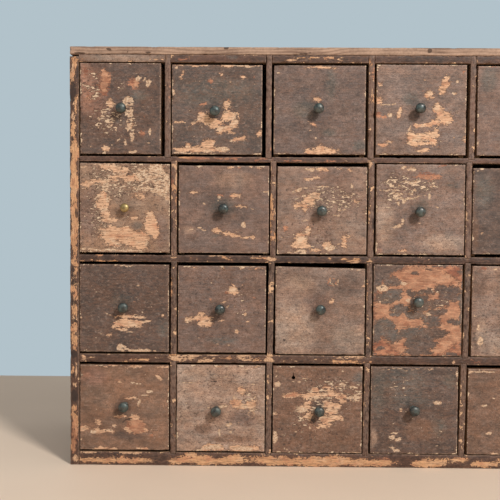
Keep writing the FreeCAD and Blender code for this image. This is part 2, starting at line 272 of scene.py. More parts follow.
# dust and dirt that has settled in soft clouds
def buildGrime():
    tree, get, give = newGroup("grime", [("Place", "Vector", None), ("Amount", "Float", 0.5)],
                               [("Mask", "Float")])
    cloud = fleck(tree, get["Place"], (0.03, 0.05, 0.05), 4, 0.65)
    spots = fleck(tree, get["Place"], (0.3, 0.3, 0.3), 2, 0.5)
    found = calc(tree, "MULTIPLY_ADD", spots, 0.35, calc(tree, "MULTIPLY", cloud, 0.65))
    tree.links.new(calc(tree, "MULTIPLY", ease(tree, found, 0.38, 0.68), get["Amount"]), give["Mask"])
    return tree


pineGrain = buildPineGrain()
chippedPaint = buildChippedPaint(pineGrain)
grime = buildGrime()


def placeInMm(tree):
    return scaleBy(tree, put(tree, "TexCoord").outputs["Object"], (1000, 1000, 1000))


# coordinates in millimetres with the grain turned to X
def grainPlace(tree, along):
    spot = placeInMm(tree)
    spot = vectorCalc(tree, "ADD", spot, stored(tree, "grainShift"))
    if along == "x":
        return spot
    parts = partsOf(tree, spot)
    order = {"y": (1, 0, 2), "z": (2, 1, 0)}[along]
    return put(tree, "CombineXYZ", {0: parts[order[0]], 1: parts[order[1]], 2: parts[order[2]]}).outputs[0]


# a mesh keeps its depths raised by markReach, so that a mesh without them reads as far outside
def markDepths(tree, name):
    return [calc(tree, "SUBTRACT", part, markReach) for part in partsOf(tree, stored(tree, name))]


def newMaterial(name, roughness, metallic=0.0):
    made = bpy.data.materials.new(name)
    made.use_nodes = True
    shader = made.node_tree.nodes["Principled BSDF"]
    shader.inputs["Roughness"].default_value = roughness
    shader.inputs["Metallic"].default_value = metallic
    return made, made.node_tree, shader


def addBump(tree, shader, height, distance, strength):
    bump = put(tree, "Bump", {"Height": height, "Distance": distance, "Strength": strength})
    tree.links.new(bump.outputs[0], shader.inputs["Normal"])


def makePainted(name, along, chipping, edgeWear, ragged, film, woods):
    made, tree, shader = newMaterial(name, 0.6)
    bare, pale, red = markDepths(tree, "chips")
    parts = partsOf(tree, stored(tree, "age"))
    tint = stored(tree, "tint", "Color")
    out = useGroup(tree, chippedPaint, {
        "Place": grainPlace(tree, along), "Tint": tint, "Bare": bare, "Pale": pale, "Red": red,
        "Stain": calc(tree, "SUBTRACT", parts[2], markReach),
        "Edge": calc(tree, "SUBTRACT", markReach, parts[0]),
        "Speckle": parts[1], "Chipping": chipping, "Edge Wear": edgeWear, "Ragged": ragged, "Film": film,
        "Wood Light": shade(*woods[0]), "Wood Dark": shade(*woods[1]), "Cream": shade(*woods[2])})
    tree.links.new(out["Color"], shader.inputs["Base Color"])
    tree.links.new(out["Roughness"], shader.inputs["Roughness"])
    shader.inputs["Specular IOR Level"].default_value = 0.35
    addBump(tree, shader, out["Height"], 0.0006, 0.75)
    return made


def makePine(name, along, light, dark, dirt, dirtAmount, ringGap=3.6):
    made, tree, shader = newMaterial(name, 0.8)
    place = grainPlace(tree, along)
    wood = useGroup(tree, pineGrain, {"Place": place, "Light": light, "Dark": dark, "Ring Gap": ringGap})
    dirty = useGroup(tree, grime, {"Place": place, "Amount": dirtAmount})["Mask"]
    parts = partsOf(tree, stored(tree, "age"))
    # one tone for each board
    own = put(tree, "TexNoise", {"Vector": stored(tree, "grainShift"), "Scale": 0.37, "Detail": 0.0})
    color = toned(tree, wood["Color"], ease(tree, own.outputs["Fac"], 0.25, 0.75, 0.8, 1.2))
    color = mix(tree, dirty, color, dirt)
    knot = calc(tree, "MULTIPLY_ADD", wood["Height"], 1.2, calc(tree, "SUBTRACT", parts[2], markReach + 0.3))
    color = mix(tree, ease(tree, knot, -0.4, 0.8, 0.0, 0.8), color, shade(62, 44, 34))
    tree.links.new(color, shader.inputs["Base Color"])
    tree.links.new(ease(tree, dirty, 0.0, 0.8, 0.72, 0.9), shader.inputs["Roughness"])
    shader.inputs["Specular IOR Level"].default_value = 0.3
    addBump(tree, shader, wood["Height"], 0.0005, 0.6)
    return made


# marks of wear: bare wood, pale ground, red paint, paint that stays, stains and loose flakes
def insideMark(points, mark):
    x, z, halfX, halfZ = mark[:4]
    turn = math.radians(mark[4]) if len(mark) > 4 else 0.0
    dx = points[:, 0] - x
    dz = points[:, 1] - z
    along = dx * math.cos(turn) + dz * math.sin(turn)
    across = dz * math.cos(turn) - dx * math.sin(turn)
    reach = np.hypot(along / halfX, across / halfZ)
    slope = np.hypot(along / halfX ** 2, across / halfZ ** 2)
    depth = reach * (1 - reach) / np.maximum(slope, 1e-6)
    return np.minimum(depth, min(halfX, halfZ)), reach


def deepest(points, marks):
    found = np.full(len(points), -markReach)
    for mark in marks:
        depth, reach = insideMark(points, mark)
        depth = depth * (1 + 2.2 / min(mark[2], mark[3]))
        found = np.maximum(found, np.where(reach < 1e-3, markReach, depth))
    return np.clip(found, -markReach, markReach)


def ringDepth(points, marks):
    found = np.full(len(points), -markReach)
    for mark in marks:
        depth = insideMark(points, mark)[0]
        found = np.maximum(found, 2.4 - 2.6 * np.abs(depth))
    return np.clip(found, -markReach, markReach)


def vertexPlaces(mesh):
    found = np.empty(len(mesh.vertices) * 3, np.float32)
    mesh.vertices.foreach_get("co", found)
    return found.reshape(-1, 3).astype(float) / mm


def keepVectors(mesh, name, values):
    made = mesh.attributes.new(name, "FLOAT_VECTOR", "POINT")
    made.data.foreach_set("vector", np.ascontiguousarray(values, dtype=np.float32).ravel())


def readMarks(points, marks, base, grown=0.0):
    pale = np.maximum(deepest(points, marks.get("pale", [])), ringDepth(points, marks.get("paleRing", [])))
    red = np.maximum(deepest(points, marks.get("red", [])), ringDepth(points, marks.get("redRing", [])))
    keep = -deepest(points, marks.get("keep", []))
    red = np.minimum(red, keep)
    bare = np.minimum(deepest(points, marks.get("bare", [])) + grown, keep)
    speckle = np.zeros(len(points))
    for kind, most in (("flecks", 0.45), ("speckle", 0.9), ("strokes", 1.6)):
        for mark in marks.get(kind, []):
            share = np.clip((1.4 - insideMark(points, mark)[1]) / 0.7, 0, 1)
            speckle = np.maximum(speckle, share * most)
    tint = np.tile(np.array(shade(*base)[:3]), (len(points), 1))
    for name, color in paints.items():
        for mark in marks.get(name, []):
            share = np.clip((1.25 - insideMark(points, mark)[1]) / 0.8, 0, 1)
            share = (share * share * (3 - 2 * share) * 0.8)[:, None]
            tint = tint * (1 - share) + np.array(shade(*color)[:3]) * share
    # a dark ring by each knob, set down and to the left: grime from hands and painted shadow of the knob
    for mark in marks.get("soil", []):
        share = np.clip(1.5 - insideMark(points, mark)[1], 0, 1)[:, None] * 0.5
        tint = tint * (1 - share) + np.array(shade(50, 39, 36)[:3]) * share
    stain = deepest(points, marks.get("stain", []))
    depths = [bare + markReach, pale + markReach + grown / 2, red + markReach]
    return np.column_stack([*depths, speckle, stain + markReach, tint])


# how the outlines of marks wander: how fine and how far, slowly and quickly
drift = {"slow": 0.07, "slowReach": 2.6, "quick": 0.21, "quickReach": 1.3}


# the marks are read by x and z on what faces forward, and by y and z on an end board's outer face
def markMesh(mesh, marks, originX, originZ, base, grown=0.0, sideMarks=None):
    places = vertexPlaces(mesh)
    places = places + np.array([noise.noise_vector(Vector(place) * drift["slow"]) * drift["slowReach"]
                                + noise.noise_vector(Vector(place) * drift["quick"]) * drift["quickReach"]
                                for place in places])
    found = readMarks(places[:, [0, 2]] - np.array([originX, originZ]), marks, base, grown)
    if sideMarks is not None:
        beside = vertexPlaces(mesh)[:, 1] > case["front"] + 2.5
        found[beside] = readMarks(places[beside][:, [1, 2]], sideMarks, base)
    near = np.zeros(len(places), np.float32)
    if "near" in mesh.attributes:
        mesh.attributes["near"].data.foreach_get("value", near)
    keepVectors(mesh, "chips", found[:, :3])
    keepVectors(mesh, "age", np.column_stack([near, found[:, 3], found[:, 4]]))
    keepVectors(mesh, "tint", found[:, 5:])


# seeded marks for a surface that has none of its own
def scatterMarks(draw, low, high, counts):
    marks = {}
    for kind, (count, least, most) in counts.items():
        marks[kind] = []
        for number in range(count):
            size = least + (most - least) * draw.random() ** 2
            marks[kind].append((draw.uniform(low[0], high[0]), draw.uniform(low[1], high[1]), size,
                                size * draw.uniform(0.8, 2.2), draw.uniform(-15, 15)))
    return marks


# mesh work that every board shares
def addLayers(bm):
    bm.verts.layers.float.new("near")
    bm.verts.layers.float_vector.new("grainShift")


def sliceFaces(bm, faces, axis, places):
    parts = dict.fromkeys(faces)
    for face in faces:
        parts.update(dict.fromkeys([*face.edges, *face.verts]))
    normal = Vector((0, 0, 0))
    normal[axis] = 1
    for place in places:
        point = Vector((0, 0, 0))
        point[axis] = place
        cut = bmesh.ops.bisect_plane(bm, geom=list(parts), dist=2e-6, plane_co=point, plane_no=normal)
        parts = {}
        for part in cut["geom"]:
            if isinstance(part, bmesh.types.BMFace) and max(v.co[axis] for v in part.verts) > place + hair:
                parts.update(dict.fromkeys([part, *part.edges, *part.verts]))


def extrudeFaces(bm, faces):
    made = bmesh.ops.extrude_face_region(bm, geom=faces)
    return [part for part in made["geom"] if isinstance(part, bmesh.types.BMVert)]


def spanOf(verts, axis):
    places = [vert.co[axis] for vert in verts]
    return min(places), max(places)


def steps(low, high, gap):
    count = max(1, round((high - low) / gap))
    return [low + (high - low) * number / count for number in range(1, count)]


def borderOf(faces):
    chosen = set(faces)
    edges = [edge for face in faces for edge in face.edges]
    return [edge for edge in edges if sum(other in chosen for other in edge.link_faces) == 1]


def segmentsOf(edges):
    return [(np.array(edge.verts[0].co) / mm, np.array(edge.verts[1].co) / mm) for edge in edges]


def roundEdges(bm, edges, size, segments=2):
    bmesh.ops.bevel(bm, geom=list(dict.fromkeys(edges)), offset=size * mm, offset_type="OFFSET",
                    segments=segments, profile=0.5, affect="EDGES", material=-1, clamp_overlap=True,
                    loop_slide=True)


# pushes points in, most of all in bites along the border
def wearDown(bm, verts, segments, look, seed):
    bm.normal_update()
    near = bm.verts.layers.float["near"]
    verts = list(verts)
    places = np.array([vert.co for vert in verts]) / mm
    gap = np.full(len(verts), 99.0)
    for start, end in segments:
        run = end - start
        share = np.clip(((places - start) @ run) / max(float(run @ run), 1e-9), 0, 1)
        gap = np.minimum(gap, np.linalg.norm(places - start - share[:, None] * run, axis=1))
    offset = Vector((seed * 17.3, seed * 5.1, seed * 9.7))
    for vert, distance in zip(verts, gap):
        spot = vert.co / mm + offset
        push = look["wobble"] * (0.5 + 0.5 * noise.noise(spot * 0.02))
        bite = noise.noise(spot * 0.1) + 0.6 * noise.noise(spot * 0.31)
        push += look["bite"] * max(0.0, bite - 0.1) * max(0.0, 1 - distance / 2.6)
        vert.co -= vert.normal * push * mm
        vert[near] = max(vert[near], markReach - min(distance, markReach))


def islandsOf(bm):
    waiting = set(bm.verts)
    found = []
    while waiting:
        stack = [waiting.pop()]
        group = []
        while stack:
            vert = stack.pop()
            group.append(vert)
            for edge in vert.link_edges:
                other = edge.other_vert(vert)
                if other in waiting:
                    waiting.remove(other)
                    stack.append(other)
        found.append(group)
    return found


def shiftGrain(bm, draw):
    layer = bm.verts.layers.float_vector["grainShift"]
    groups = sorted(islandsOf(bm), key=lambda group: min(tuple(vert.co) for vert in group))
    for group in groups:
        shift = Vector((draw.uniform(-900, 900), draw.uniform(-60, 60), draw.uniform(-60, 60)))
        for vert in group:
            vert[layer] = shift


# starts each face at its lowest corner, so that every run splits the faces into the same triangles
def fixCorners(mesh):
    order = np.lexsort(np.round(vertexPlaces(mesh), 3).T)
    rank = np.empty(len(order), np.int32)
    rank[order] = np.arange(len(order))
    starts = np.array([face.loop_start for face in mesh.polygons])
    sizes = np.array([face.loop_total for face in mesh.polygons])
    corners = np.empty(len(mesh.loops), np.int32)
    sides = np.empty(len(mesh.loops), np.int32)
    mesh.loops.foreach_get("vertex_index", corners)
    mesh.loops.foreach_get("edge_index", sides)
    turned = np.arange(len(corners))
    for size in np.unique(sizes):
        first = starts[sizes == size][:, None]
        lowest = np.argmin(rank[corners[first + np.arange(size)]], axis=1)[:, None]
        turned[first + np.arange(size)] = first + (np.arange(size) + lowest) % size
    mesh.loops.foreach_set("vertex_index", corners[turned])
    mesh.loops.foreach_set("edge_index", sides[turned])


def takeMesh(name, bm):
    mesh = bpy.data.meshes.new(name)
    bm.to_mesh(mesh)
    bm.free()
    return mesh


def addObject(name, data):
    made = bpy.data.objects.new(name, data)
    bpy.context.scene.collection.objects.link(made)
    return made


def finishPiece(name, bm, materials, body, nodes=(), smoothAngle=38):
    mesh = takeMesh(name, bm)
    fixCorners(mesh)
    mesh.polygons.foreach_set("use_smooth", [True] * len(mesh.polygons))
    mesh.set_sharp_from_angle(angle=math.radians(smoothAngle))
    for material in materials:
        mesh.materials.append(material)
    piece = addObject(name, mesh)
    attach(piece, body)
    if nodes:
        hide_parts(*nodes)
    return piece


def copyNode(node):
    bm = bmesh.new()
    bm.from_mesh(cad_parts[node].data)
    bmesh.ops.remove_doubles(bm, verts=bm.verts, dist=1e-6)
    bmesh.ops.dissolve_limit(bm, angle_limit=math.radians(1), verts=bm.verts, edges=bm.edges)
    for layer in list(bm.loops.layers.uv.values()):
        bm.loops.layers.uv.remove(layer)
    addLayers(bm)
    return bm


def facesAt(bm, axis, place):
    return [face for face in bm.faces if all(abs(vert.co[axis] - place) < hair for vert in face.verts)]


def facesWithin(bm, axis, low, high):
    return [face for face in bm.faces if all(low <= vert.co[axis] <= high for vert in face.verts)]


# paints and finishes
paints = {
    "smoke": (102, 82, 72), "slate": (100, 93, 86), "mouse": (132, 106, 94), "dusty": (154, 127, 110),
    "wash": (170, 140, 118), "umber": (118, 88, 70), "rust": (146, 106, 88), "chalk": (172, 146, 128),
    "sage": (146, 136, 84), "blush": (176, 130, 108), "soot": (66, 51, 44),
}
baseTints = {
    "coal": (96, 79, 71), "stone": (98, 84, 77), "mole": (113, 94, 86), "mouse": (122, 100, 90),
    "fawn": (130, 108, 97), "dusty": (142, 117, 103), "wash": (171, 143, 125), "umber": (124, 96, 80),
    "tan": (136, 105, 86), "sand": (156, 127, 106), "bark": (80, 58, 48), "bramble": (93, 69, 59),
    "peat": (70, 51, 43),
}
frontWoods = [(226, 184, 150), (194, 148, 116), (220, 194, 166)]
caseWoods = [(214, 166, 124), (180, 128, 92), (218, 178, 142)]
paintedX = makePainted("chippedPaintAlongX", "x", 0.35, 0.55, 1.0, 0.45, frontWoods)
edgePaintX = makePainted("edgePaintAlongX", "x", 0.4, 0.22, 0.85, 0.25, caseWoods)
edgePaintZ = makePainted("edgePaintAlongZ", "z", 0.4, 0.22, 0.85, 0.25, caseWoods)
topPine = makePine("topPine", "x", shade(181, 151, 130), shade(86, 61, 48), shade(100, 80, 70), 0.5, 4.2)
backPine = makePine("backPine", "z", shade(176, 146, 118), shade(124, 94, 72), shade(88, 72, 62), 0.7, 5.0)
frontPine = makePine("frontPineAlongX", "x", shade(146, 112, 82), shade(104, 76, 54), shade(72, 54, 42), 0.6)
boxWood = [shade(192, 156, 118), shade(146, 108, 76), shade(96, 74, 58)]
boxPineX = makePine("boxPineAlongX", "x", *boxWood, 0.55)
boxPineY = makePine("boxPineAlongY", "y", *boxWood, 0.55)
innerWood = [shade(142, 112, 86), shade(104, 78, 58), shade(62, 48, 40)]
innerPineX = makePine("innerPineAlongX", "x", *innerWood, 0.8)
innerPineZ = makePine("innerPineAlongZ", "z", *innerWood, 0.8)

# the camera: its place in metres, turns in degrees, and the width of its picture in pixels
view = {"place": (-0.086384, -1.302175, 0.3541), "yaw": 0.6497, "pitch": 2.4032, "roll": 0.3897,
        "lens": 60.84, "sensor": 36.0, "pixels": 500}
cameraTurn = (Matrix.Rotation(math.radians(view["yaw"]), 4, "Z")
              @ Matrix.Rotation(math.radians(90 - view["pitch"]), 4, "X")
              @ Matrix.Rotation(math.radians(view["roll"]), 4, "Z"))
# the marks were picked in enlarged halves of each row: where a half starts in the camera's picture,
# in pixels, and how many times it is enlarged
closeViews = {
    "row1Left": {"left": 65, "top": 40, "zoom": 7.649},
    "row1Right": {"left": 255, "top": 40, "zoom": 6.4},
    "row2Left": {"left": 60, "top": 155, "zoom": 7.293},
    "row2Right": {"left": 265, "top": 155, "zoom": 6.672},
    "row3Left": {"left": 60, "top": 255, "zoom": 7.293},
    "row3Right": {"left": 265, "top": 255, "zoom": 6.672},
    "row4Left": {"left": 60, "top": 350, "zoom": 7.293},
    "row4Right": {"left": 265, "top": 350, "zoom": 6.672},
}
# in mm: what a pixel of the picture covers on the front, the smallest mark, and where sizes turn coarser
marking = {"pixel": 1.39, "least": 0.6, "coarse": 2, "coarseStep": 0.5, "fineStep": 0.1}


def snap(value, step):
    return round(round(value / step) * step, 1)


def markSize(pixels, close):
    size = max(pixels / close["zoom"] * marking["pixel"], marking["least"])
    return snap(size, marking["coarseStep"] if size >= marking["coarse"] else marking["fineStep"])


# follows the camera's ray through a spot of a close view to the front, and gives its x and z in mm
def frontSpot(close, across, down):
    focal = view["lens"] / view["sensor"] * view["pixels"]
    right = close["left"] + across / close["zoom"] - view["pixels"] / 2
    under = close["top"] + down / close["zoom"] - view["pixels"] / 2
    ray = cameraTurn.to_3x3() @ Vector((right / focal, -under / focal, -1))
    start = Vector(view["place"]) / mm
    spot = start + ray * ((case["front"] - start.y) / ray.y)
    return spot.x, spot.z


# a dictionary of marks in mm from an origin on the front, out of marks in pixels of a close view
def placeMarks(marks, close, originX, originZ, step):
    placed = {}
    for kind, spots in marks.items():
        placed[kind] = []
        for across, down, halfAcross, halfDown, *turn in spots:
            x, z = frontSpot(close, across, down)
            placed[kind].append((snap(x - originX, step), snap(z - originZ, step),
                                 markSize(halfAcross, close), markSize(halfDown, close), *turn))
    return placed


# marks on the case in each close view, in its pixels: across, down, half width, half height[, turn]
caseWear = {
    "row1Left": {
        "bare": [(72, 175, 18, 60), (60, 285, 20, 60), (90, 500, 8, 90), (66, 690, 22, 60),
            (74, 850, 26, 110), (300, 140, 150, 4), (960, 130, 26, 5), (930, 898, 60, 9)],
        "pale": [(62, 210, 12, 40), (72, 575, 16, 40), (690, 150, 60, 4), (775, 355, 10, 14)],
        "red": [(910, 142, 60, 7), (790, 420, 10, 70), (795, 200, 8, 60), (1010, 905, 90, 8),
            (1250, 905, 110, 7), (1490, 915, 60, 8)],
        "stain": [(96, 230, 10, 70), (66, 400, 18, 90, -4), (78, 560, 5, 90, 10), (55, 740, 8, 40),
            (337, 75, 18, 9), (475, 95, 8, 7), (640, 91, 26, 7), (1237, 72, 18, 13), (130, 100, 70, 5)],
        "strokes": [(72, 330, 22, 330), (786, 400, 14, 260)],
        "chalk": [(430, 135, 360, 40)],
        "slate": [(1290, 142, 40, 10)],
    },
    "row1Right": {
        "bare": [(345, 118, 60, 7), (470, 117, 40, 6), (748, 145, 16, 26), (746, 380, 14, 30)],
        "pale": [(1010, 52, 110, 4), (225, 130, 30, 7), (262, 125, 14, 8), (540, 135, 24, 5),
            (1290, 141, 40, 3), (745, 328, 10, 16), (1420, 130, 5, 11), (380, 772, 20, 4),
            (738, 800, 14, 22), (1500, 160, 8, 4)],
        "red": [(100, 690, 5, 30), (755, 220, 9, 50), (480, 771, 34, 6)],
        "stain": [(320, 83, 44, 6, 5), (1110, 75, 17, 15)],
        "strokes": [(430, 118, 200, 12), (748, 330, 16, 220)],
        "soot": [(400, 124, 420, 30), (1120, 124, 330, 24)],
    },
    "row2Left": {
        "bare": [(104, 170, 25, 190), (106, 470, 23, 300), (838, 300, 9, 190), (822, 250, 12, 44),
            (285, 727, 30, 6), (345, 768, 205, 5), (1000, 760, 14, 6), (960, 758, 12, 6),
            (1220, 755, 42, 11, -10), (1450, 750, 62, 7), (1550, 330, 12, 110), (1550, 560, 12, 90)],
        "pale": [(850, 150, 7, 110), (832, 70, 20, 13), (846, 420, 5, 60), (836, 590, 7, 66),
            (832, 700, 16, 40), (832, 746, 36, 9), (1130, 740, 80, 4), (1535, 750, 32, 14),
            (1550, 130, 10, 32), (905, 757, 10, 5)],
        "red": [(820, 180, 9, 80)],
        "stain": [(124, 440, 9, 60), (110, 590, 9, 12), (72, 200, 5, 200), (92, 815, 10, 24),
            (820, 520, 10, 60)],
        "speckle": [(1550, 350, 16, 240)],
        "strokes": [(840, 400, 16, 300), (1550, 400, 14, 260)],
        "sage": [(90, 405, 12, 30)],
    },
    "row2Right": {
        "bare": [(45, 230, 9, 70), (45, 350, 11, 110), (50, 520, 14, 90), (706, 180, 11, 62),
            (702, 370, 10, 80), (706, 510, 9, 60), (700, 600, 10, 40), (430, 700, 10, 9),
            (575, 700, 70, 11), (880, 700, 3, 24)],
        "pale": [(55, 110, 15, 30), (705, 62, 17, 13), (1372, 265, 5, 60), (1352, 340, 8, 8),
            (1353, 482, 8, 10), (1366, 552, 7, 10), (1345, 395, 4, 30), (540, 43, 14, 4),
            (40, 690, 34, 12), (600, 716, 50, 6), (520, 738, 26, 5), (702, 700, 18, 11), (1095, 700, 9, 8),
            (20, 715, 30, 4)],
        "red": [(190, 40, 72, 5), (1010, 716, 34, 4)],
        "stain": [(692, 260, 5, 90), (718, 430, 6, 70)],
        "speckle": [(50, 400, 22, 200)],
        "strokes": [(45, 330, 22, 300), (700, 330, 18, 290), (1355, 400, 14, 220)],
    },
    "row3Left": {
        "bare": [(100, 50, 22, 34), (118, 100, 11, 50), (95, 235, 18, 34), (110, 290, 20, 40),
            (106, 395, 24, 46), (106, 530, 22, 40), (104, 615, 22, 64), (112, 690, 12, 12),
            (815, 200, 4, 90), (1535, 300, 4, 40)],
        "pale": [(822, 560, 5, 42), (816, 660, 7, 40), (1531, 230, 6, 62)],
        "red": [(835, 410, 9, 34)],
        "stain": [(92, 120, 11, 52), (122, 215, 7, 22), (84, 310, 8, 22), (100, 345, 22, 16),
            (98, 190, 22, 16), (86, 450, 7, 40), (122, 600, 6, 30), (105, 480, 26, 12), (122, 560, 6, 20),
            (100, 722, 30, 26)],
        "strokes": [(104, 380, 26, 330), (826, 400, 14, 300)],
    },
    "row3Right": {
        "bare": [(700, 40, 20, 9), (686, 230, 7, 42), (690, 330, 8, 40)],
        "pale": [(32, 200, 4, 30), (1351, 290, 4, 60), (688, 280, 4, 20)],
        "red": [(35, 240, 6, 60)],
        "strokes": [(32, 250, 14, 210), (690, 300, 16, 250), (1350, 290, 12, 170)],
    },
    "row4Left": {
        "bare": [(88, 150, 10, 50), (104, 430, 20, 30), (106, 540, 23, 110), (100, 690, 22, 60),
            (545, 73, 112, 7), (830, 45, 40, 13), (1430, 75, 40, 9), (1230, 60, 40, 6),
            (400, 803, 290, 18), (1150, 804, 380, 26), (960, 768, 90, 14), (1300, 772, 160, 8),
            (1530, 800, 50, 24), (825, 612, 11, 24), (1520, 355, 5, 16)],
        "pale": [(117, 150, 9, 62), (106, 250, 16, 26), (108, 790, 24, 24), (165, 50, 15, 24),
            (862, 62, 74, 18), (1055, 75, 74, 10), (970, 38, 74, 9), (1120, 38, 44, 8),
            (1360, 45, 96, 11, -5), (1350, 72, 60, 9), (1530, 30, 15, 16), (1528, 70, 20, 16),
            (420, 752, 275, 8), (1480, 771, 25, 8), (640, 800, 50, 8), (815, 700, 10, 44)],
        "red": [(104, 620, 24, 150), (828, 440, 7, 24), (1515, 370, 7, 26)],
        "keep": [(760, 790, 40, 40), (1220, 770, 220, 7), (230, 770, 60, 7), (370, 778, 50, 6),
            (520, 776, 60, 7)],
        "stain": [(105, 92, 11, 9), (101, 172, 8, 34), (106, 335, 26, 52), (122, 705, 7, 20),
            (88, 640, 6, 50), (270, 822, 20, 5), (430, 820, 18, 7), (565, 826, 15, 5)],
        "strokes": [(190, 55, 70, 22), (1100, 58, 420, 14)],
    },
    "row4Right": {
        "bare": [(552, 80, 112, 8), (700, 85, 10, 5), (400, 747, 480, 30), (1100, 756, 116, 23),
            (1275, 738, 70, 16), (1465, 765, 92, 14), (40, 740, 60, 26), (1545, 745, 30, 20),
            (18, 340, 7, 30)],
        "pale": [(25, 50, 12, 24), (40, 75, 46, 9), (560, 50, 110, 9), (1255, 85, 8, 7),
            (1235, 745, 20, 8), (680, 180, 9, 30), (664, 400, 3, 70), (668, 582, 6, 9), (676, 120, 6, 16),
            (1305, 272, 4, 9)],
        "red": [(1400, 70, 40, 8), (790, 726, 48, 8)],
        "keep": [(230, 713, 110, 5), (580, 723, 44, 6), (945, 735, 54, 22), (1280, 772, 80, 9),
            (1450, 730, 100, 10)],
        "strokes": [(570, 55, 130, 14), (250, 60, 160, 12), (18, 300, 14, 260), (668, 380, 14, 260),
            (1305, 380, 14, 250)],
    },
}


# the case: boards copied from the model, then rounded, cut fine and worn
case = {"front": -127.0, "half": 351.0, "round": 0.7, "step": 3.0, "wobble": 0.25, "bite": 1.5,
        "outerStep": 5.0, "outerWobble": 0.45, "outerBite": 0.5, "endThick": 12.7, "grown": 0.4,
        "markStep": 0.5, "backBoards": 6}
# how many marks of each kind on an end board's outer face, from what half width to what half width
sideWear = {"bare": (70, 1.0, 9), "pale": (40, 0.8, 5), "red": (26, 1.5, 9), "speckle": (14, 12, 40),
            "strokes": (12, 4, 16), "flecks": (6, 60, 90), "stain": (8, 1, 4), "slate": (9, 15, 50),
            "dusty": (10, 15, 50), "umber": (8, 15, 50)}
# boards that lie across: the tint of their paint, how much their bare marks are grown, and a seed
shelves = {
    "shelf_upper": {"tint": "bramble", "grown": 0.5, "seed": 3},
    "shelf_middle": {"tint": "peat", "grown": 0.1, "seed": 4},
    "shelf_lower": {"tint": "bark", "grown": 0.9, "seed": 5},
    "bottom_board": {"tint": "bark", "grown": 1.5, "seed": 6},
    "top_rails": {"tint": "bramble", "grown": 0.0, "seed": 41},
}
# plain boards: the size of their cells along each axis, their rounding and their wear
topLook = {"gaps": (2.4, 12.0, 1.9), "round": 1.3, "wobble": 0.3, "bite": 1.6}
backLook = {"gaps": (20.0, 30.0, 18.0), "round": 0.8, "wobble": 0.35, "bite": 0.8}
seeds = {"uprights": 20, "sideLeft": 31, "sideRight": 33, "topBoard": 51, "backBoards": 60, "nails": 77,
         "fronts": 100, "boxes": 200, "knobs": 400}
uprightTints = {1: "bramble", 2: "bramble", 3: "peat", 4: "bark"}
caseOrigin = (-case["half"], 0.0)
# the case's marks in mm from its left edge and its foot
caseMarks = {}
for closeName, marks in caseWear.items():
    for kind, spots in placeMarks(marks, closeViews[closeName], *caseOrigin, case["markStep"]).items():
        caseMarks.setdefault(kind, []).extend(spots)


def wearFront(bm, axis, seed, across=3):
    front = case["front"] * mm
    faces = facesAt(bm, 1, front)
    edges = borderOf(faces)
    segments = segmentsOf(edges)
    roundEdges(bm, edges, case["round"])
    back = front + (case["round"] + play) * mm
    other = 2 if axis == 0 else 0
    region = facesWithin(bm, 1, front - hair, back)
    low, high = spanOf([vert for face in region for vert in face.verts], axis)
    sliceFaces(bm, region, axis, steps(low, high, case["step"] * mm))
    region = facesWithin(bm, 1, front - hair, back)
    if across > 1:
        low, high = spanOf([vert for face in region for vert in face.verts], other)
        sliceFaces(bm, region, other, steps(low, high, (high - low) / across))
        region = facesWithin(bm, 1, front - hair, back)
    for face in region:
        face.material_index = 1
    wearDown(bm, {vert for face in region for vert in face.verts}, segments, case, seed)


def makeShelf(node, look):
    bm = copyNode(node)
    wearFront(bm, 0, look["seed"])
    shiftGrain(bm, random.Random(look["seed"]))
    piece = finishPiece(node + "_worn", bm, [innerPineX, edgePaintX], "carcass", [node])
    markMesh(piece.data, caseMarks, *caseOrigin, baseTints[look["tint"]], look["grown"])


def makeUprights(row, seed):
    node = "dividers_row_%d" % row
    bm = copyNode(node)
    wearFront(bm, 2, seed, across=1)
    shiftGrain(bm, random.Random(seed))
    piece = finishPiece(node + "_worn", bm, [innerPineZ, edgePaintZ], "carcass", [node])
    markMesh(piece.data, caseMarks, *caseOrigin, baseTints[uprightTints[row]], case["grown"])


def makeEnd(node, outer, seed):
    bm = copyNode(node)
    front = case["front"] * mm
    inner = outer - math.copysign(case["endThick"] * mm, outer)
    frontSegments = segmentsOf(borderOf(facesAt(bm, 1, front)))
    outerSegments = segmentsOf(borderOf(facesAt(bm, 0, outer)))
    roundEdges(bm, borderOf(facesAt(bm, 1, front)) + borderOf(facesAt(bm, 0, outer)), case["round"])
    slack = (case["round"] + play) * mm
    top = max(vert.co.z for vert in bm.verts)
    frontReach = (1, front - hair, front + slack)
    outerReach = (0, *sorted((outer + math.copysign(hair, outer), outer - math.copysign(slack, outer))))
    sliceFaces(bm, facesWithin(bm, *frontReach), 2, steps(0, top, case["step"] * mm))
    sliceFaces(bm, facesWithin(bm, *frontReach), 0, steps(*sorted((inner, outer)), 4.2 * mm))
    sliceFaces(bm, facesWithin(bm, *outerReach), 1, steps(front, -front, case["outerStep"] * mm))
    sliceFaces(bm, facesWithin(bm, *outerReach), 2, steps(0, top, case["outerStep"] * mm))
    frontRegion = facesWithin(bm, *frontReach)
    outerRegion = facesWithin(bm, *outerReach)
    for face in frontRegion + outerRegion:
        face.material_index = 1
    frontVerts = {vert for face in frontRegion for vert in face.verts}
    outerVerts = {vert for face in outerRegion for vert in face.verts} - frontVerts
    wearDown(bm, frontVerts, frontSegments, case, seed)
    wearDown(bm, outerVerts, outerSegments, {"wobble": case["outerWobble"], "bite": case["outerBite"]},
             seed + 1)
    draw = random.Random(seed)
    shiftGrain(bm, draw)
    piece = finishPiece(node + "_worn", bm, [innerPineZ, edgePaintZ], "carcass", [node])
    sideMarks = scatterMarks(draw, (-120, 5), (122, 560), sideWear)
    marks = caseMarks if outer < 0 else {}
    markMesh(piece.data, marks, *caseOrigin, baseTints["bark"], case["grown"], sideMarks)


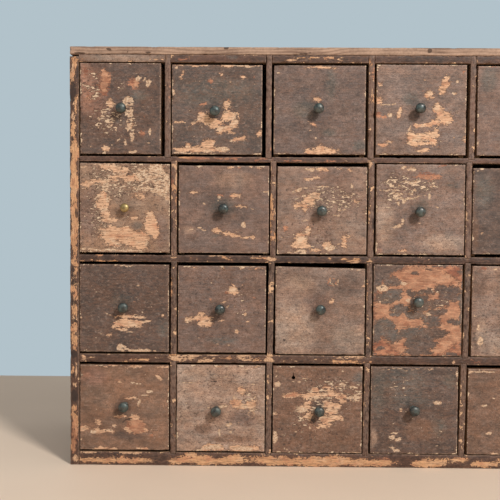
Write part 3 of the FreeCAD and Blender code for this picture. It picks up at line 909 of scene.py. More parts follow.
# a plain board: every arris rounded, every side cut into cells and worn
def makePlank(node, material, look, seed, marks):
    bm = copyNode(node)
    segments = segmentsOf(bm.edges)
    roundEdges(bm, bm.edges, look["round"])
    for axis in range(3):
        low, high = spanOf(bm.verts, axis)
        places = steps(low + look["round"] * mm, high - look["round"] * mm, look["gaps"][axis] * mm)
        sliceFaces(bm, list(bm.faces), axis, places)
    wearDown(bm, list(bm.verts), segments, look, seed)
    shiftGrain(bm, random.Random(seed))
    piece = finishPiece(node + "_worn", bm, [material], "carcass", [node])
    markMesh(piece.data, marks, *caseOrigin, baseTints["bramble"])


for node, look in shelves.items():
    makeShelf(node, look)
for row in uprightTints:
    makeUprights(row, seeds["uprights"] + row)
makeEnd("side_left", -case["half"] * mm, seeds["sideLeft"])
makeEnd("side_right", case["half"] * mm, seeds["sideRight"])
makePlank("top_board", topPine, topLook, seeds["topBoard"], {"stain": caseMarks["stain"]})
for number in range(1, case["backBoards"] + 1):
    makePlank("back_board_%d" % number, backPine, backLook, seeds["backBoards"] + number, {})
print("case boards worn")


# marks on each front in the close view of its half of the row, as on the case
drawerWear = {
    "r1c1": {
        "bare": [(300, 310, 34, 88, -5), (545, 332, 24, 30), (350, 480, 24, 40, 12),
            (505, 640, 12, 50, -8), (310, 832, 30, 26)],
        "pale": [(556, 295, 22, 22), (636, 330, 20, 34), (606, 298, 12, 14), (482, 470, 48, 44),
            (500, 600, 18, 112, -10), (512, 740, 16, 50), (290, 560, 22, 26, 20), (258, 597, 12, 18),
            (350, 630, 18, 28), (396, 682, 9, 22), (456, 782, 11, 24), (640, 700, 11, 30),
            (642, 782, 12, 12), (410, 765, 16, 9), (360, 800, 9, 9), (520, 852, 36, 12), (190, 812, 8, 8),
            (708, 246, 12, 5), (205, 675, 9, 5), (245, 670, 6, 9)],
        "red": [(300, 320, 44, 100, -5), (150, 250, 16, 34, -8), (168, 420, 10, 30, 6), (520, 335, 48, 40),
            (590, 715, 26, 18), (610, 580, 10, 8)],
        "speckle": [(205, 340, 55, 100), (395, 350, 40, 50), (520, 700, 60, 110), (200, 640, 70, 80)],
        "strokes": [(205, 350, 70, 120), (330, 600, 120, 120), (415, 345, 50, 40), (500, 600, 46, 130)],
        "smoke": [(520, 680, 210, 150), (270, 650, 110, 130)],
        "rust": [(205, 390, 120, 220)],
        "slate": [(560, 430, 70, 50), (430, 600, 60, 60)],
        "blush": [(150, 330, 66, 200)],
    },
    "r1c2": {
        "bare": [(1165, 192, 340, 8), (893, 272, 14, 30, -10), (1197, 268, 15, 17), (1368, 282, 28, 13),
            (1240, 488, 30, 34), (1055, 592, 48, 40), (1150, 640, 92, 44, -12), (1255, 590, 54, 40),
            (1212, 682, 78, 34), (1290, 640, 34, 32), (1322, 590, 11, 28), (1180, 712, 30, 14),
            (1272, 715, 34, 12), (885, 632, 46, 12), (985, 630, 24, 16), (958, 660, 18, 6),
            (1325, 758, 60, 13, 15), (1090, 790, 64, 32, 6), (1030, 838, 225, 26), (950, 800, 30, 18),
            (1490, 712, 18, 27, -20)],
        "pale": [(1390, 195, 105, 9), (848, 213, 12, 11), (826, 402, 16, 26), (1265, 322, 8, 8),
            (1200, 832, 62, 14), (880, 862, 60, 8), (1270, 775, 12, 7)],
        "red": [(1440, 290, 14, 7), (1110, 312, 26, 16), (1060, 487, 28, 12)],
        "keep": [(1270, 622, 11, 11), (1213, 655, 12, 8), (1150, 682, 9, 9), (1180, 655, 9, 6)],
        "speckle": [(1160, 640, 220, 80)],
        "slate": [(1160, 400, 330, 120)],
    },
    "r1c3": {
        "bare": [(420, 173, 104, 8), (405, 383, 28, 14), (370, 538, 24, 10, -20), (430, 716, 108, 22),
            (425, 690, 40, 18)],
        "pale": [(350, 585, 10, 6), (385, 632, 12, 4), (150, 205, 9, 5), (118, 640, 4, 30)],
        "slate": [(490, 280, 40, 110), (330, 450, 95, 70), (670, 680, 45, 40), (470, 590, 45, 25)],
    },
    "r1c4": {
        "bare": [(1237, 235, 13, 20), (1225, 277, 27, 30, 25), (1203, 316, 27, 24), (1185, 346, 9, 12),
            (1119, 352, 28, 26, 20), (800, 284, 20, 9), (793, 390, 27, 24), (923, 465, 13, 36, -15),
            (1165, 430, 24, 32, -10), (1182, 462, 30, 38), (1222, 502, 48, 38), (1150, 532, 44, 15, 12),
            (1095, 543, 48, 13, 5), (1040, 543, 20, 19), (1150, 582, 18, 19), (1090, 616, 92, 24, 5),
            (1000, 628, 28, 34), (1060, 662, 90, 16), (1140, 650, 30, 28), (1070, 708, 46, 11),
            (820, 667, 30, 14), (852, 650, 18, 9), (1345, 635, 9, 26)],
        "pale": [(1090, 260, 10, 6), (1295, 269, 14, 6), (1275, 341, 15, 12), (850, 413, 50, 7),
            (865, 480, 12, 17), (986, 575, 7, 44, -25), (1060, 640, 60, 10), (1275, 626, 12, 6),
            (1345, 572, 5, 20)],
        "red": [(1330, 210, 10, 8), (1055, 328, 25, 3), (795, 482, 18, 28), (830, 492, 12, 12)],
        "speckle": [(1060, 640, 150, 50), (1200, 500, 90, 90)],
        "slate": [(1000, 380, 60, 50)],
    },
    "r1c5": {
        "pale": [(1430, 662, 7, 18), (1436, 312, 4, 4)],
        "red": [(1530, 175, 18, 6)],
        "slate": [(1500, 250, 60, 90)],
    },
    "r2c1": {
        "bare": [(345, 82, 64, 24), (430, 105, 95, 26, -10), (480, 165, 135, 28, -6),
            (275, 190, 105, 22, 8), (200, 212, 52, 16), (575, 300, 46, 22), (322, 335, 54, 66),
            (330, 425, 28, 60), (350, 470, 62, 20), (545, 455, 36, 14), (372, 585, 84, 60),
            (350, 540, 62, 28), (480, 585, 60, 68), (562, 615, 92, 58), (662, 500, 50, 88),
            (690, 560, 30, 52), (600, 655, 52, 38), (400, 640, 62, 28)],
        "pale": [(690, 110, 62, 52), (735, 170, 68, 62), (640, 250, 110, 20, -8), (745, 235, 56, 72),
            (780, 322, 20, 22), (330, 235, 30, 36), (352, 310, 18, 38), (620, 150, 60, 60),
            (400, 692, 240, 11), (640, 642, 16, 20), (165, 683, 36, 9), (170, 75, 34, 8), (300, 68, 60, 7)],
        "keep": [(562, 515, 58, 38), (455, 260, 80, 54), (480, 345, 110, 48), (575, 365, 60, 38),
            (435, 200, 26, 40), (610, 205, 60, 16), (560, 120, 50, 14), (300, 150, 50, 14),
            (330, 515, 24, 14)],
        "speckle": [(200, 440, 65, 230), (700, 130, 110, 90), (450, 600, 300, 90)],
        "strokes": [(480, 190, 330, 130), (290, 420, 70, 200)],
        "mouse": [(200, 430, 90, 230), (745, 560, 60, 160)],
        "wash": [(460, 300, 120, 120)],
        "slate": [(562, 515, 50, 34), (492, 130, 20, 18)],
    },
    "r2c2": {
        "bare": [(1250, 85, 22, 8), (1390, 88, 20, 6), (1452, 88, 15, 5), (980, 275, 33, 8),
            (1285, 298, 46, 13), (1325, 377, 46, 8), (1142, 552, 42, 18, -12), (1212, 580, 42, 17, -10),
            (1272, 591, 46, 11), (1337, 598, 28, 8), (1402, 601, 24, 10, -15)],
        "pale": [(1164, 312, 16, 12), (1256, 308, 10, 9), (1153, 340, 13, 6), (1392, 388, 12, 4),
            (1500, 275, 22, 5), (870, 290, 10, 4), (1055, 358, 7, 6), (1340, 502, 16, 20),
            (1300, 557, 12, 5), (1050, 540, 22, 7), (1018, 528, 12, 5), (962, 535, 18, 5)],
        "red": [(1312, 85, 18, 4), (1172, 298, 20, 9)],
        "slate": [(1140, 590, 40, 18), (1190, 380, 100, 70)],
        "dusty": [(1260, 180, 150, 80), (945, 540, 60, 30)],
    },
    "r2c3": {
        "bare": [(390, 98, 46, 13), (500, 97, 20, 7), (570, 97, 16, 8), (315, 157, 52, 9),
            (325, 272, 40, 27), (280, 325, 52, 26), (215, 337, 28, 18), (268, 365, 14, 20),
            (300, 295, 40, 20), (610, 305, 30, 12), (285, 510, 22, 32, -20), (245, 562, 44, 42),
            (205, 602, 36, 24), (255, 610, 46, 20), (535, 562, 18, 28), (530, 602, 20, 18),
            (415, 600, 28, 26), (350, 632, 38, 12)],
        "pale": [(300, 94, 40, 9), (230, 225, 62, 5, 14), (215, 238, 36, 4, 18), (370, 214, 76, 4),
            (530, 270, 62, 4), (560, 283, 40, 3), (470, 243, 50, 3), (580, 205, 9, 20), (262, 270, 20, 14),
            (480, 402, 26, 6), (520, 362, 32, 10), (270, 433, 30, 5), (500, 390, 14, 3),
            (240, 641, 40, 12), (165, 649, 32, 6), (555, 545, 10, 8), (492, 595, 11, 4),
            (440, 622, 36, 18), (108, 545, 20, 4), (300, 330, 14, 8)],
        "red": [(140, 490, 20, 14)],
        "speckle": [(300, 560, 200, 120)],
        "strokes": [(430, 300, 230, 90)],
        "slate": [(375, 370, 60, 50)],
        "mouse": [(420, 150, 200, 60)],
        "dusty": [(560, 520, 120, 120)],
    },
    "r2c4": {
        "bare": [(915, 640, 26, 12)],
        "pale": [(980, 95, 32, 11), (930, 80, 16, 8), (878, 202, 32, 9, 12), (960, 190, 60, 12),
            (850, 240, 92, 6), (1005, 240, 20, 10), (890, 270, 50, 20), (1008, 284, 72, 6, 8),
            (1102, 276, 11, 24), (885, 330, 8, 44, 10), (928, 312, 22, 12, 40), (1120, 206, 20, 8),
            (960, 262, 30, 6), (890, 478, 42, 11, 12), (925, 446, 9, 17), (1145, 347, 18, 8, -20),
            (1340, 211, 8, 5), (1310, 241, 10, 5), (1038, 452, 14, 5, 30), (1370, 74, 14, 5),
            (1120, 76, 10, 6), (1250, 70, 60, 3)],
        "red": [(1100, 145, 82, 22), (1008, 152, 40, 12), (1190, 76, 30, 7)],
        "speckle": [(880, 200, 130, 110), (1010, 210, 140, 60)],
        "strokes": [(900, 230, 150, 110), (1040, 210, 120, 50)],
        "chalk": [(800, 440, 75, 160), (1180, 580, 160, 70)],
        "slate": [(1050, 225, 60, 26), (1250, 205, 50, 22), (1050, 345, 60, 50)],
        "rust": [(760, 640, 24, 26)],
        "smoke": [(850, 140, 60, 70)],
    },
    "r2c5": {
        "pale": [(1470, 295, 5, 4), (1456, 525, 13, 6), (1421, 105, 8, 7)],
        "slate": [(1470, 240, 70, 120)],
        "umber": [(1405, 520, 30, 130)],
    },
    "r3c1": {
        "bare": [(500, 455, 120, 12), (500, 500, 110, 28), (400, 525, 26, 18), (545, 495, 62, 28),
            (450, 545, 46, 10), (642, 488, 30, 6), (622, 456, 16, 5), (357, 587, 23, 8), (755, 443, 12, 8)],
        "pale": [(480, 555, 72, 5), (350, 433, 28, 4), (445, 682, 42, 26), (560, 690, 92, 13),
            (662, 702, 46, 7), (792, 400, 4, 105), (792, 540, 4, 34), (480, 78, 60, 5), (270, 72, 30, 4),
            (575, 225, 14, 6), (148, 450, 7, 7), (142, 120, 6, 6)],
        "red": [(545, 346, 12, 6)],
        "speckle": [(575, 385, 36, 42), (575, 385, 70, 70), (300, 600, 80, 60)],
        "slate": [(760, 540, 60, 70), (450, 340, 90, 70)],
        "smoke": [(300, 250, 150, 170)],
    },
    "r3c2": {
        "bare": [(990, 98, 20, 4), (1183, 100, 11, 10), (1330, 101, 20, 6), (1425, 101, 60, 5),
            (1250, 245, 38, 28), (1275, 268, 25, 18), (1035, 432, 35, 16), (1040, 465, 66, 24),
            (1052, 497, 60, 19), (950, 478, 26, 16), (1187, 350, 20, 8), (1350, 435, 10, 11),
            (1372, 488, 10, 8), (1296, 565, 12, 14), (1170, 478, 18, 6)],
        "pale": [(1215, 385, 12, 10), (1270, 381, 8, 7), (1360, 170, 10, 5), (1325, 216, 8, 6),
            (1147, 647, 13, 6), (1235, 660, 10, 6), (1015, 605, 14, 7), (1370, 78, 130, 3)],
        "red": [(1216, 266, 12, 8), (1095, 321, 10, 8), (1420, 312, 20, 5)],
        "stain": [(1302, 247, 11, 11)],
        "speckle": [(1330, 330, 110, 120)],
        "slate": [(1180, 625, 120, 30)],
        "smoke": [(1150, 440, 50, 50)],
    },
    "r3c3": {
        "bare": [(448, 316, 16, 11, 15), (657, 212, 18, 6)],
        "pale": [(642, 106, 26, 4)],
        "stain": [(130, 572, 8, 8)],
        "redRing": [(448, 187, 24, 24)],
        "paleRing": [(462, 178, 26, 26)],
        "chalk": [(180, 500, 170, 180), (560, 560, 130, 100), (230, 190, 90, 60)],
        "smoke": [(560, 190, 110, 90)],
        # the mouse tint round the knob darkens the paint there: partly darker paint, partly painted shadow
        # of the knob
        "mouse": [(370, 330, 110, 90)],
    },
    "r3c4": {
        "bare": [(1050, 380, 315, 310)],
        "pale": [(785, 222, 40, 22), (925, 190, 24, 10), (960, 310, 16, 12), (1090, 395, 20, 12)],
        "red": [(1050, 380, 330, 320), (830, 620, 112, 60), (775, 352, 50, 50), (1220, 510, 90, 34),
            (1170, 400, 50, 36), (925, 205, 60, 26), (1190, 90, 110, 14), (1250, 640, 80, 36),
            (1290, 560, 70, 110), (1300, 330, 45, 60), (1180, 560, 60, 40), (880, 560, 70, 30),
            (1080, 165, 250, 90)],
        "keep": [(780, 125, 70, 55), (850, 185, 62, 30), (868, 246, 48, 22), (800, 262, 22, 16),
            (985, 255, 34, 24), (1080, 247, 62, 18), (1215, 238, 88, 34), (1235, 280, 84, 34),
            (1150, 325, 84, 34), (1050, 330, 60, 50), (795, 308, 60, 16), (900, 362, 62, 26),
            (880, 400, 40, 12), (1000, 400, 60, 26), (1100, 430, 60, 26), (1130, 466, 46, 18),
            (1270, 442, 50, 16), (790, 490, 75, 64), (850, 540, 60, 40), (1050, 530, 150, 46),
            (1040, 590, 110, 52), (1030, 650, 90, 24), (1318, 360, 15, 250), (1250, 668, 46, 14),
            (1195, 510, 40, 8), (1090, 100, 30, 5), (1000, 115, 26, 8), (760, 620, 30, 8),
            (1110, 80, 90, 3), (1034, 325, 66, 62), (1150, 380, 60, 20), (830, 280, 90, 30)],
        "speckle": [(1000, 300, 320, 160)],
        "slate": [(900, 400, 240, 230), (1315, 400, 40, 260)],
    },
    "r3c5": {
        "pale": [(1440, 575, 20, 34, -15), (1425, 490, 12, 18), (1405, 405, 10, 7), (1545, 92, 20, 7)],
        "red": [(1450, 80, 30, 7)],
        "smoke": [(1430, 190, 56, 130), (1400, 560, 16, 80)],
        "chalk": [(1450, 530, 46, 120), (1545, 600, 60, 80)],
    },
    "r4c1": {
        "bare": [(345, 122, 80, 6), (540, 122, 62, 8), (742, 124, 52, 5), (430, 231, 19, 10, -20),
            (733, 203, 25, 11), (785, 290, 5, 20), (522, 354, 62, 10), (442, 487, 50, 11),
            (566, 500, 24, 24), (556, 520, 40, 60), (560, 545, 60, 42), (548, 582, 96, 24),
            (275, 530, 26, 22), (395, 551, 18, 9), (360, 588, 28, 14), (280, 592, 56, 20),
            (175, 573, 42, 22), (335, 716, 96, 12), (600, 721, 50, 9)],
        "pale": [(552, 243, 50, 8, -8), (786, 190, 7, 32), (655, 305, 22, 12), (560, 368, 40, 5),
            (580, 390, 13, 26, -15), (622, 331, 26, 8), (245, 600, 24, 16), (150, 645, 9, 10),
            (258, 425, 4, 7)],
        "red": [(415, 216, 14, 8), (430, 495, 36, 6), (556, 556, 70, 46), (665, 625, 12, 14)],
        "keep": [(190, 622, 54, 32)],
        "stain": [(492, 512, 50, 4, 28)],
        "speckle": [(680, 600, 48, 46)],
        "rust": [(250, 200, 110, 80)],
        "smoke": [(500, 620, 160, 40), (450, 420, 60, 50)],
    },
    "r4c2": {
        "bare": [(1160, 125, 23, 7), (1440, 126, 30, 5), (1335, 300, 38, 24), (1283, 376, 46, 23),
            (1310, 415, 56, 24), (1392, 400, 38, 30), (1415, 345, 14, 13), (1105, 716, 92, 28),
            (1342, 718, 124, 26)],
        "pale": [(1215, 123, 12, 7), (1355, 148, 10, 10), (1400, 250, 36, 5, -10), (1275, 350, 20, 11),
            (1402, 441, 26, 8), (1185, 410, 42, 9), (1225, 552, 28, 15), (1165, 603, 9, 30, 8),
            (1235, 603, 12, 12), (1270, 665, 9, 8), (1085, 420, 11, 11), (1310, 530, 12, 4),
            (1105, 716, 60, 18), (1342, 716, 70, 16), (935, 241, 52, 5), (1180, 195, 80, 3),
            (960, 500, 20, 4)],
        "stain": [(1220, 232, 210, 3), (1010, 458, 60, 2, 10)],
        "strokes": [(1370, 330, 60, 50)],
        "paleRing": [(1392, 470, 26, 18)],
        "chalk": [(890, 330, 50, 200), (1000, 180, 150, 60)],
        "umber": [(1050, 575, 70, 46), (1240, 650, 190, 34)],
        "mouse": [(1330, 500, 120, 60)],
        "smoke": [(1135, 460, 46, 40)],
    },
    "r4c3": {
        "bare": [(185, 300, 78, 18, 5), (410, 245, 30, 13), (470, 246, 20, 11), (330, 273, 30, 24),
            (290, 310, 46, 20), (335, 305, 70, 23), (425, 272, 32, 16), (442, 300, 66, 21),
            (512, 315, 56, 22), (300, 360, 50, 33), (255, 390, 36, 28), (420, 370, 50, 34),
            (442, 410, 50, 36), (482, 380, 38, 24), (430, 460, 70, 30), (400, 502, 54, 22),
            (490, 466, 38, 17), (290, 450, 42, 28), (520, 345, 30, 16), (60, 425, 14, 13)],
        "pale": [(190, 213, 16, 5), (78, 145, 8, 8), (78, 172, 7, 7), (525, 145, 8, 6), (270, 187, 25, 5),
            (80, 230, 26, 18), (228, 205, 14, 8), (510, 238, 26, 18), (582, 255, 20, 11),
            (600, 320, 56, 16), (610, 302, 44, 5), (612, 344, 46, 5), (240, 400, 36, 16),
            (215, 412, 26, 4), (212, 384, 22, 4), (65, 582, 20, 50), (85, 680, 25, 7), (592, 690, 50, 6),
            (300, 525, 8, 8), (205, 548, 8, 6), (335, 540, 5, 7), (175, 580, 8, 6), (125, 655, 6, 7),
            (145, 658, 6, 7), (370, 658, 6, 6)],
        "red": [(190, 300, 60, 12, 5), (520, 318, 30, 8)],
        "keep": [(350, 370, 44, 38), (425, 330, 26, 12), (470, 350, 18, 10)],
        "stain": [(322, 465, 14, 26)],
        "speckle": [(250, 560, 200, 90)],
        "strokes": [(450, 280, 240, 90), (545, 265, 110, 56), (360, 420, 190, 110)],
        "slate": [(355, 385, 55, 55), (620, 190, 40, 50)],
        "umber": [(420, 600, 200, 80)],
    },
    "r4c4": {
        "bare": [(910, 402, 10, 12)],
        "pale": [(1155, 355, 31, 14), (860, 556, 29, 6), (850, 584, 27, 14), (886, 602, 22, 12),
            (905, 585, 8, 8), (848, 656, 20, 13), (876, 672, 22, 12), (1140, 641, 8, 4),
            (1282, 160, 9, 20, 20), (990, 127, 240, 3)],
        "speckle": [(900, 240, 120, 80), (1160, 560, 50, 60)],
        "slate": [(900, 200, 200, 90), (750, 300, 55, 180), (1155, 520, 55, 70), (960, 330, 160, 70),
            (1240, 200, 50, 60)],
        "umber": [(1030, 530, 120, 90)],
        "chalk": [(728, 585, 26, 70)],
    },
    "r4c5": {
        "bare": [(1500, 560, 30, 9), (1540, 692, 30, 11)],
        "pale": [(1450, 146, 92, 7), (1522, 322, 12, 7), (1465, 368, 20, 8), (1370, 150, 14, 10)],
        "umber": [(1400, 600, 40, 90)],
    },
}
# fronts with fine flecks all over, and the mark in mm that covers a whole front
fleckedFronts = ["r1c1", "r1c2", "r2c1", "r2c3", "r2c4", "r3c1", "r3c2", "r3c4", "r3c5", "r4c2", "r4c3",
                 "r4c4"]
wholeFront = (62, 62, 62, 62)

# the drawers: a worn front over lapped dovetails, and the thin box behind it
drawer = {"front": 12.0, "lap": 4.0, "side": 7.0, "back": 7.0, "bottom": 4.0, "grooveRise": 7.5,
          "backInset": 6.0, "backDrop": 4.0, "tails": 2, "tailRoot": 13.0, "tailSlope": 1 / 6,
          "round": 1.0, "step": 1.6, "wobble": 0.3, "bite": 1.5, "boardRound": 0.5, "boardStep": 12.0,
          "markStep": 1.0, "soilLeft": 2, "soilUnder": 3, "soilHalf": (11, 12), "rows": 4, "columns": 5}
boxWear = {"wobble": 0.12, "bite": 0.5}
drawerTints = {
    "coal": ["r1c1", "r2c5", "r3c1", "r3c4", "r4c4"], "stone": ["r1c2"], "mole": ["r1c3"],
    "mouse": ["r1c5", "r2c2", "r3c2"], "fawn": ["r1c4", "r2c4"], "dusty": ["r2c3", "r3c3", "r3c5"],
    "sand": ["r2c1"], "wash": ["r4c2"], "umber": ["r4c3", "r4c5"], "tan": ["r4c1"],
}
tintOf = {name: tint for tint, names in drawerTints.items() for name in names}


# a drawer's own lines, read from the model, in millimetres
def drawerPlan(name):
    places = vertexPlaces(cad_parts["drawer_" + name].data)
    front = places[:, 1].min()
    face = places[places[:, 1] < front + 1.2]
    body = places[places[:, 1] > front + 30]
    middle = (face[:, 0].min() + face[:, 0].max()) / 2
    return {
        "front": front, "left": face[:, 0].min(), "right": face[:, 0].max(), "foot": face[:, 2].min(),
        "topLeft": face[face[:, 0] < middle][:, 2].max(), "topRight": face[face[:, 0] > middle][:, 2].max(),
        "rear": places[:, 1].max(), "sideTop": body[:, 2].max(), "sideFoot": body[:, 2].min(),
    }


def tailMiddles(plan):
    pitch = (plan["sideTop"] - plan["sideFoot"]) / drawer["tails"]
    return [plan["sideFoot"] + (number + 0.5) * pitch for number in range(drawer["tails"])]


# a front's marks in mm from its lower left corner, with a dark ring beside its knob: grime from hands, set
# down and to the left so that it is also a painted shadow of the knob
def frontMarks(name, plan):
    row, column = name[1], int(name[3])
    close = closeViews["row%s%s" % (row, "Left" if column < 3 else "Right")]
    marks = placeMarks(drawerWear[name], close, plan["left"], plan["foot"], drawer["markStep"])
    if name in fleckedFronts:
        marks["flecks"] = [wholeFront]
    knobSpot = knobPlace(name)
    # the ring sits down and left of the knob, where its shadow falls: painted shadow over hand grime
    marks["soil"] = [(knobSpot[0] / mm - plan["left"] - drawer["soilLeft"],
                      knobSpot[2] / mm - plan["foot"] - drawer["soilUnder"], *drawer["soilHalf"])]
    return marks


def makeFront(name, plan, seed):
    bm = bmesh.new()
    addLayers(bm)
    depth = drawer["front"] - drawer["lap"]
    wide = drawer["tailRoot"] + depth * drawer["tailSlope"]
    front = plan["front"] * mm
    lapY = (plan["front"] + drawer["lap"]) * mm
    left, right, side = plan["left"], plan["right"], drawer["side"]
    corners = [(left, plan["foot"]), (right, plan["foot"]),
               (right, plan["topRight"]), (left, plan["topLeft"])]
    panel = bm.faces.new([bm.verts.new((x * mm, front, z * mm)) for x, z in corners])
    bmesh.ops.translate(bm, verts=extrudeFaces(bm, [panel]), vec=(0, lapY - front, 0))
    # the inner layer is drawn back between the sockets, which narrow towards the inside
    sliceFaces(bm, facesAt(bm, 1, lapY), 0, [(left + side) * mm, (right - side) * mm])
    edges = [(middle + way * wide) * mm for middle in tailMiddles(plan) for way in (-1, 1)]
    centre = (left + right) / 2
    strips = [face for face in facesAt(bm, 1, lapY)
              if abs(face.calc_center_median().x / mm - centre) > (right - left) / 2 - side]
    sliceFaces(bm, strips, 2, edges)
    inner = []
    for face in facesAt(bm, 1, lapY):
        middle = face.calc_center_median() / mm
        beside = middle.x < left + side or middle.x > right - side
        if not (beside and any(abs(middle.z - tail) < wide for tail in tailMiddles(plan))):
            inner.append(face)
    for vert in extrudeFaces(bm, inner):
        vert.co.y += depth * mm
        for tail in tailMiddles(plan):
            if abs(abs(vert.co.z / mm - tail) - wide) < 0.01:
                vert.co.z = (tail + math.copysign(drawer["tailRoot"], vert.co.z / mm - tail)) * mm
    bmesh.ops.recalc_face_normals(bm, faces=bm.faces)
    # the face
    edges = borderOf(facesAt(bm, 1, front))
    segments = segmentsOf(edges)
    roundEdges(bm, edges, drawer["round"])
    back = front + (drawer["round"] + play) * mm
    for axis, low, high in ((0, left, right), (2, plan["foot"], max(plan["topLeft"], plan["topRight"]))):
        region = facesWithin(bm, 1, front - hair, back)
        sliceFaces(bm, region, axis, steps((low + drawer["round"]) * mm, (high - drawer["round"]) * mm,
                                           drawer["step"] * mm))
    region = facesWithin(bm, 1, front - hair, back)
    for face in bm.faces:
        face.material_index = 1
    for face in region:
        face.material_index = 0
    for face in bm.faces:
        if all(vert.co.y < lapY + 5e-5 for vert in face.verts):
            face.material_index = 0
    wearDown(bm, {vert for face in region for vert in face.verts}, segments, drawer, seed)
    shiftGrain(bm, random.Random(seed))
    piece = finishPiece("front_" + name, bm, [paintedX, frontPine], "drawer_" + name,
                        ["drawer_" + name])
    if name == holedDrawer["name"]:
        cutDropHole(piece)
    markMesh(piece.data, frontMarks(name, plan), left, plan["foot"], baseTints[tintOf[name]])


# a board from an outline on the plane across axis, drawn along it, with its arrises eased
def makeBoard(outline, axis, start, length, seed, material):
    bm = bmesh.new()
    addLayers(bm)
    fresh = []
    for spot in outline:
        place = list(spot)
        place.insert(axis, start)
        fresh.append(bm.verts.new([value * mm for value in place]))
    moved = extrudeFaces(bm, [bm.faces.new(fresh)])
    step = Vector((0, 0, 0))
    step[axis] = length * mm
    bmesh.ops.translate(bm, verts=moved, vec=step)
    bmesh.ops.recalc_face_normals(bm, faces=bm.faces)
    segments = segmentsOf(bm.edges)
    roundEdges(bm, bm.edges, drawer["boardRound"], segments=1)
    spans = [spanOf(bm.verts, way) for way in range(3)]
    longest = max(range(3), key=lambda way: spans[way][1] - spans[way][0])
    low, high = spans[longest]
    sliceFaces(bm, list(bm.faces), longest, steps(low + mm, high - mm, drawer["boardStep"] * mm))
    wearDown(bm, list(bm.verts), segments, boxWear, seed)
    for face in bm.faces:
        face.material_index = material
    shiftGrain(bm, random.Random(seed))
    return takeMesh("board", bm)


def makeBox(name, plan, seed):
    inside = plan["front"] + drawer["front"]
    depth = drawer["front"] - drawer["lap"]
    end = inside - depth
    root = drawer["tailRoot"]
    wide = root + depth * drawer["tailSlope"]
    outline = [(inside, plan["sideFoot"]), (plan["rear"], plan["sideFoot"]), (plan["rear"], plan["sideTop"]),
               (inside, plan["sideTop"])]
    for middle in reversed(tailMiddles(plan)):
        outline += [(inside, middle + root), (end, middle + wide), (end, middle - wide),
                    (inside, middle - root)]
    left = plan["left"] + drawer["side"]
    right = plan["right"] - drawer["side"]
    floor = plan["sideFoot"] + drawer["grooveRise"]
    backRear = plan["rear"] - drawer["backInset"]
    top = plan["sideTop"] - drawer["backDrop"]
    panel = [(left, inside), (right, inside), (right, backRear), (left, backRear)]
    rear = [(left, floor + drawer["bottom"]), (right, floor + drawer["bottom"]), (right, top), (left, top)]
    parts = [
        makeBoard(outline, 0, plan["left"], drawer["side"], seed, 0),
        makeBoard(outline, 0, right, drawer["side"], seed + 1, 0),
        makeBoard(panel, 2, floor, drawer["bottom"], seed + 2, 1),
        makeBoard(rear, 1, backRear - drawer["back"], drawer["back"], seed + 3, 1),
    ]
    bm = bmesh.new()
    for part in parts:
        bm.from_mesh(part)
        bpy.data.meshes.remove(part)
    finishPiece("box_" + name, bm, [boxPineY, boxPineX], "drawer_" + name,
                ["drawer_" + name])


holedDrawer = {"name": "r4c3", "x": -36.0, "z": 45.0, "radius": 2.6, "length": 11.0}


def knobPlace(name):
    low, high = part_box("knob_" + name)
    return (low.x + high.x) / 2, high.y - knob["spigot"] * mm, (low.z + high.z) / 2


# a drop-shaped hole, round below and pointed above
def cutDropHole(piece):
    x, y, z = knobPlace(holedDrawer["name"])
    centre = Vector((x + holedDrawer["x"] * mm, y - 0.005, z + holedDrawer["z"] * mm))
    bm = bmesh.new()
    bmesh.ops.create_circle(bm, cap_ends=True, segments=20, radius=holedDrawer["radius"] * mm)
    bmesh.ops.rotate(bm, verts=bm.verts, matrix=Matrix.Rotation(math.radians(90), 3, "X"))
    tip = max(bm.verts, key=lambda vert: vert.co.z)
    tip.co.z = (holedDrawer["length"] - holedDrawer["radius"]) * mm
    bmesh.ops.translate(bm, verts=bm.verts, vec=centre)
    bmesh.ops.translate(bm, verts=extrudeFaces(bm, list(bm.faces)), vec=(0, 0.03, 0))
    bmesh.ops.recalc_face_normals(bm, faces=bm.faces)
    mesh = takeMesh("dropHole", bm)
    tool = addObject("dropHole", mesh)
    cut = piece.modifiers.new("hole", "BOOLEAN")
    cut.operation = "DIFFERENCE"
    cut.solver = "EXACT"
    cut.object = tool
    bpy.context.view_layer.update()
    view = bpy.context.evaluated_depsgraph_get()
    made = bpy.data.meshes.new_from_object(piece.evaluated_get(view))
    piece.modifiers.clear()
    old = piece.data
    piece.data = made
    bpy.data.objects.remove(tool)
    bpy.data.meshes.remove(old)
    bpy.data.meshes.remove(mesh)


# knobs: turned bronze gone green, and one of brass
knob = {"spigot": 9.0, "small": 0.85, "steps": 40, "dent": 0.12, "brassOn": "r2c1",
        "profile": [(0, -9), (2.1, -9), (2.1, 0), (5.15, 0), (5.15, 0.8), (4.85, 1.3), (4.0, 1.6),
                    (3.1, 2.2), (2.65, 3.2), (2.65, 5.0), (2.9, 6.2), (3.8, 7.4), (5.2, 8.9), (6.5, 10.3),
                    (7.1, 11.3), (7.2, 12.4), (7.15, 13.4), (6.75, 14.3), (5.85, 15.2), (4.5, 16.0),
                    (2.6, 16.6), (0, 16.85)]}


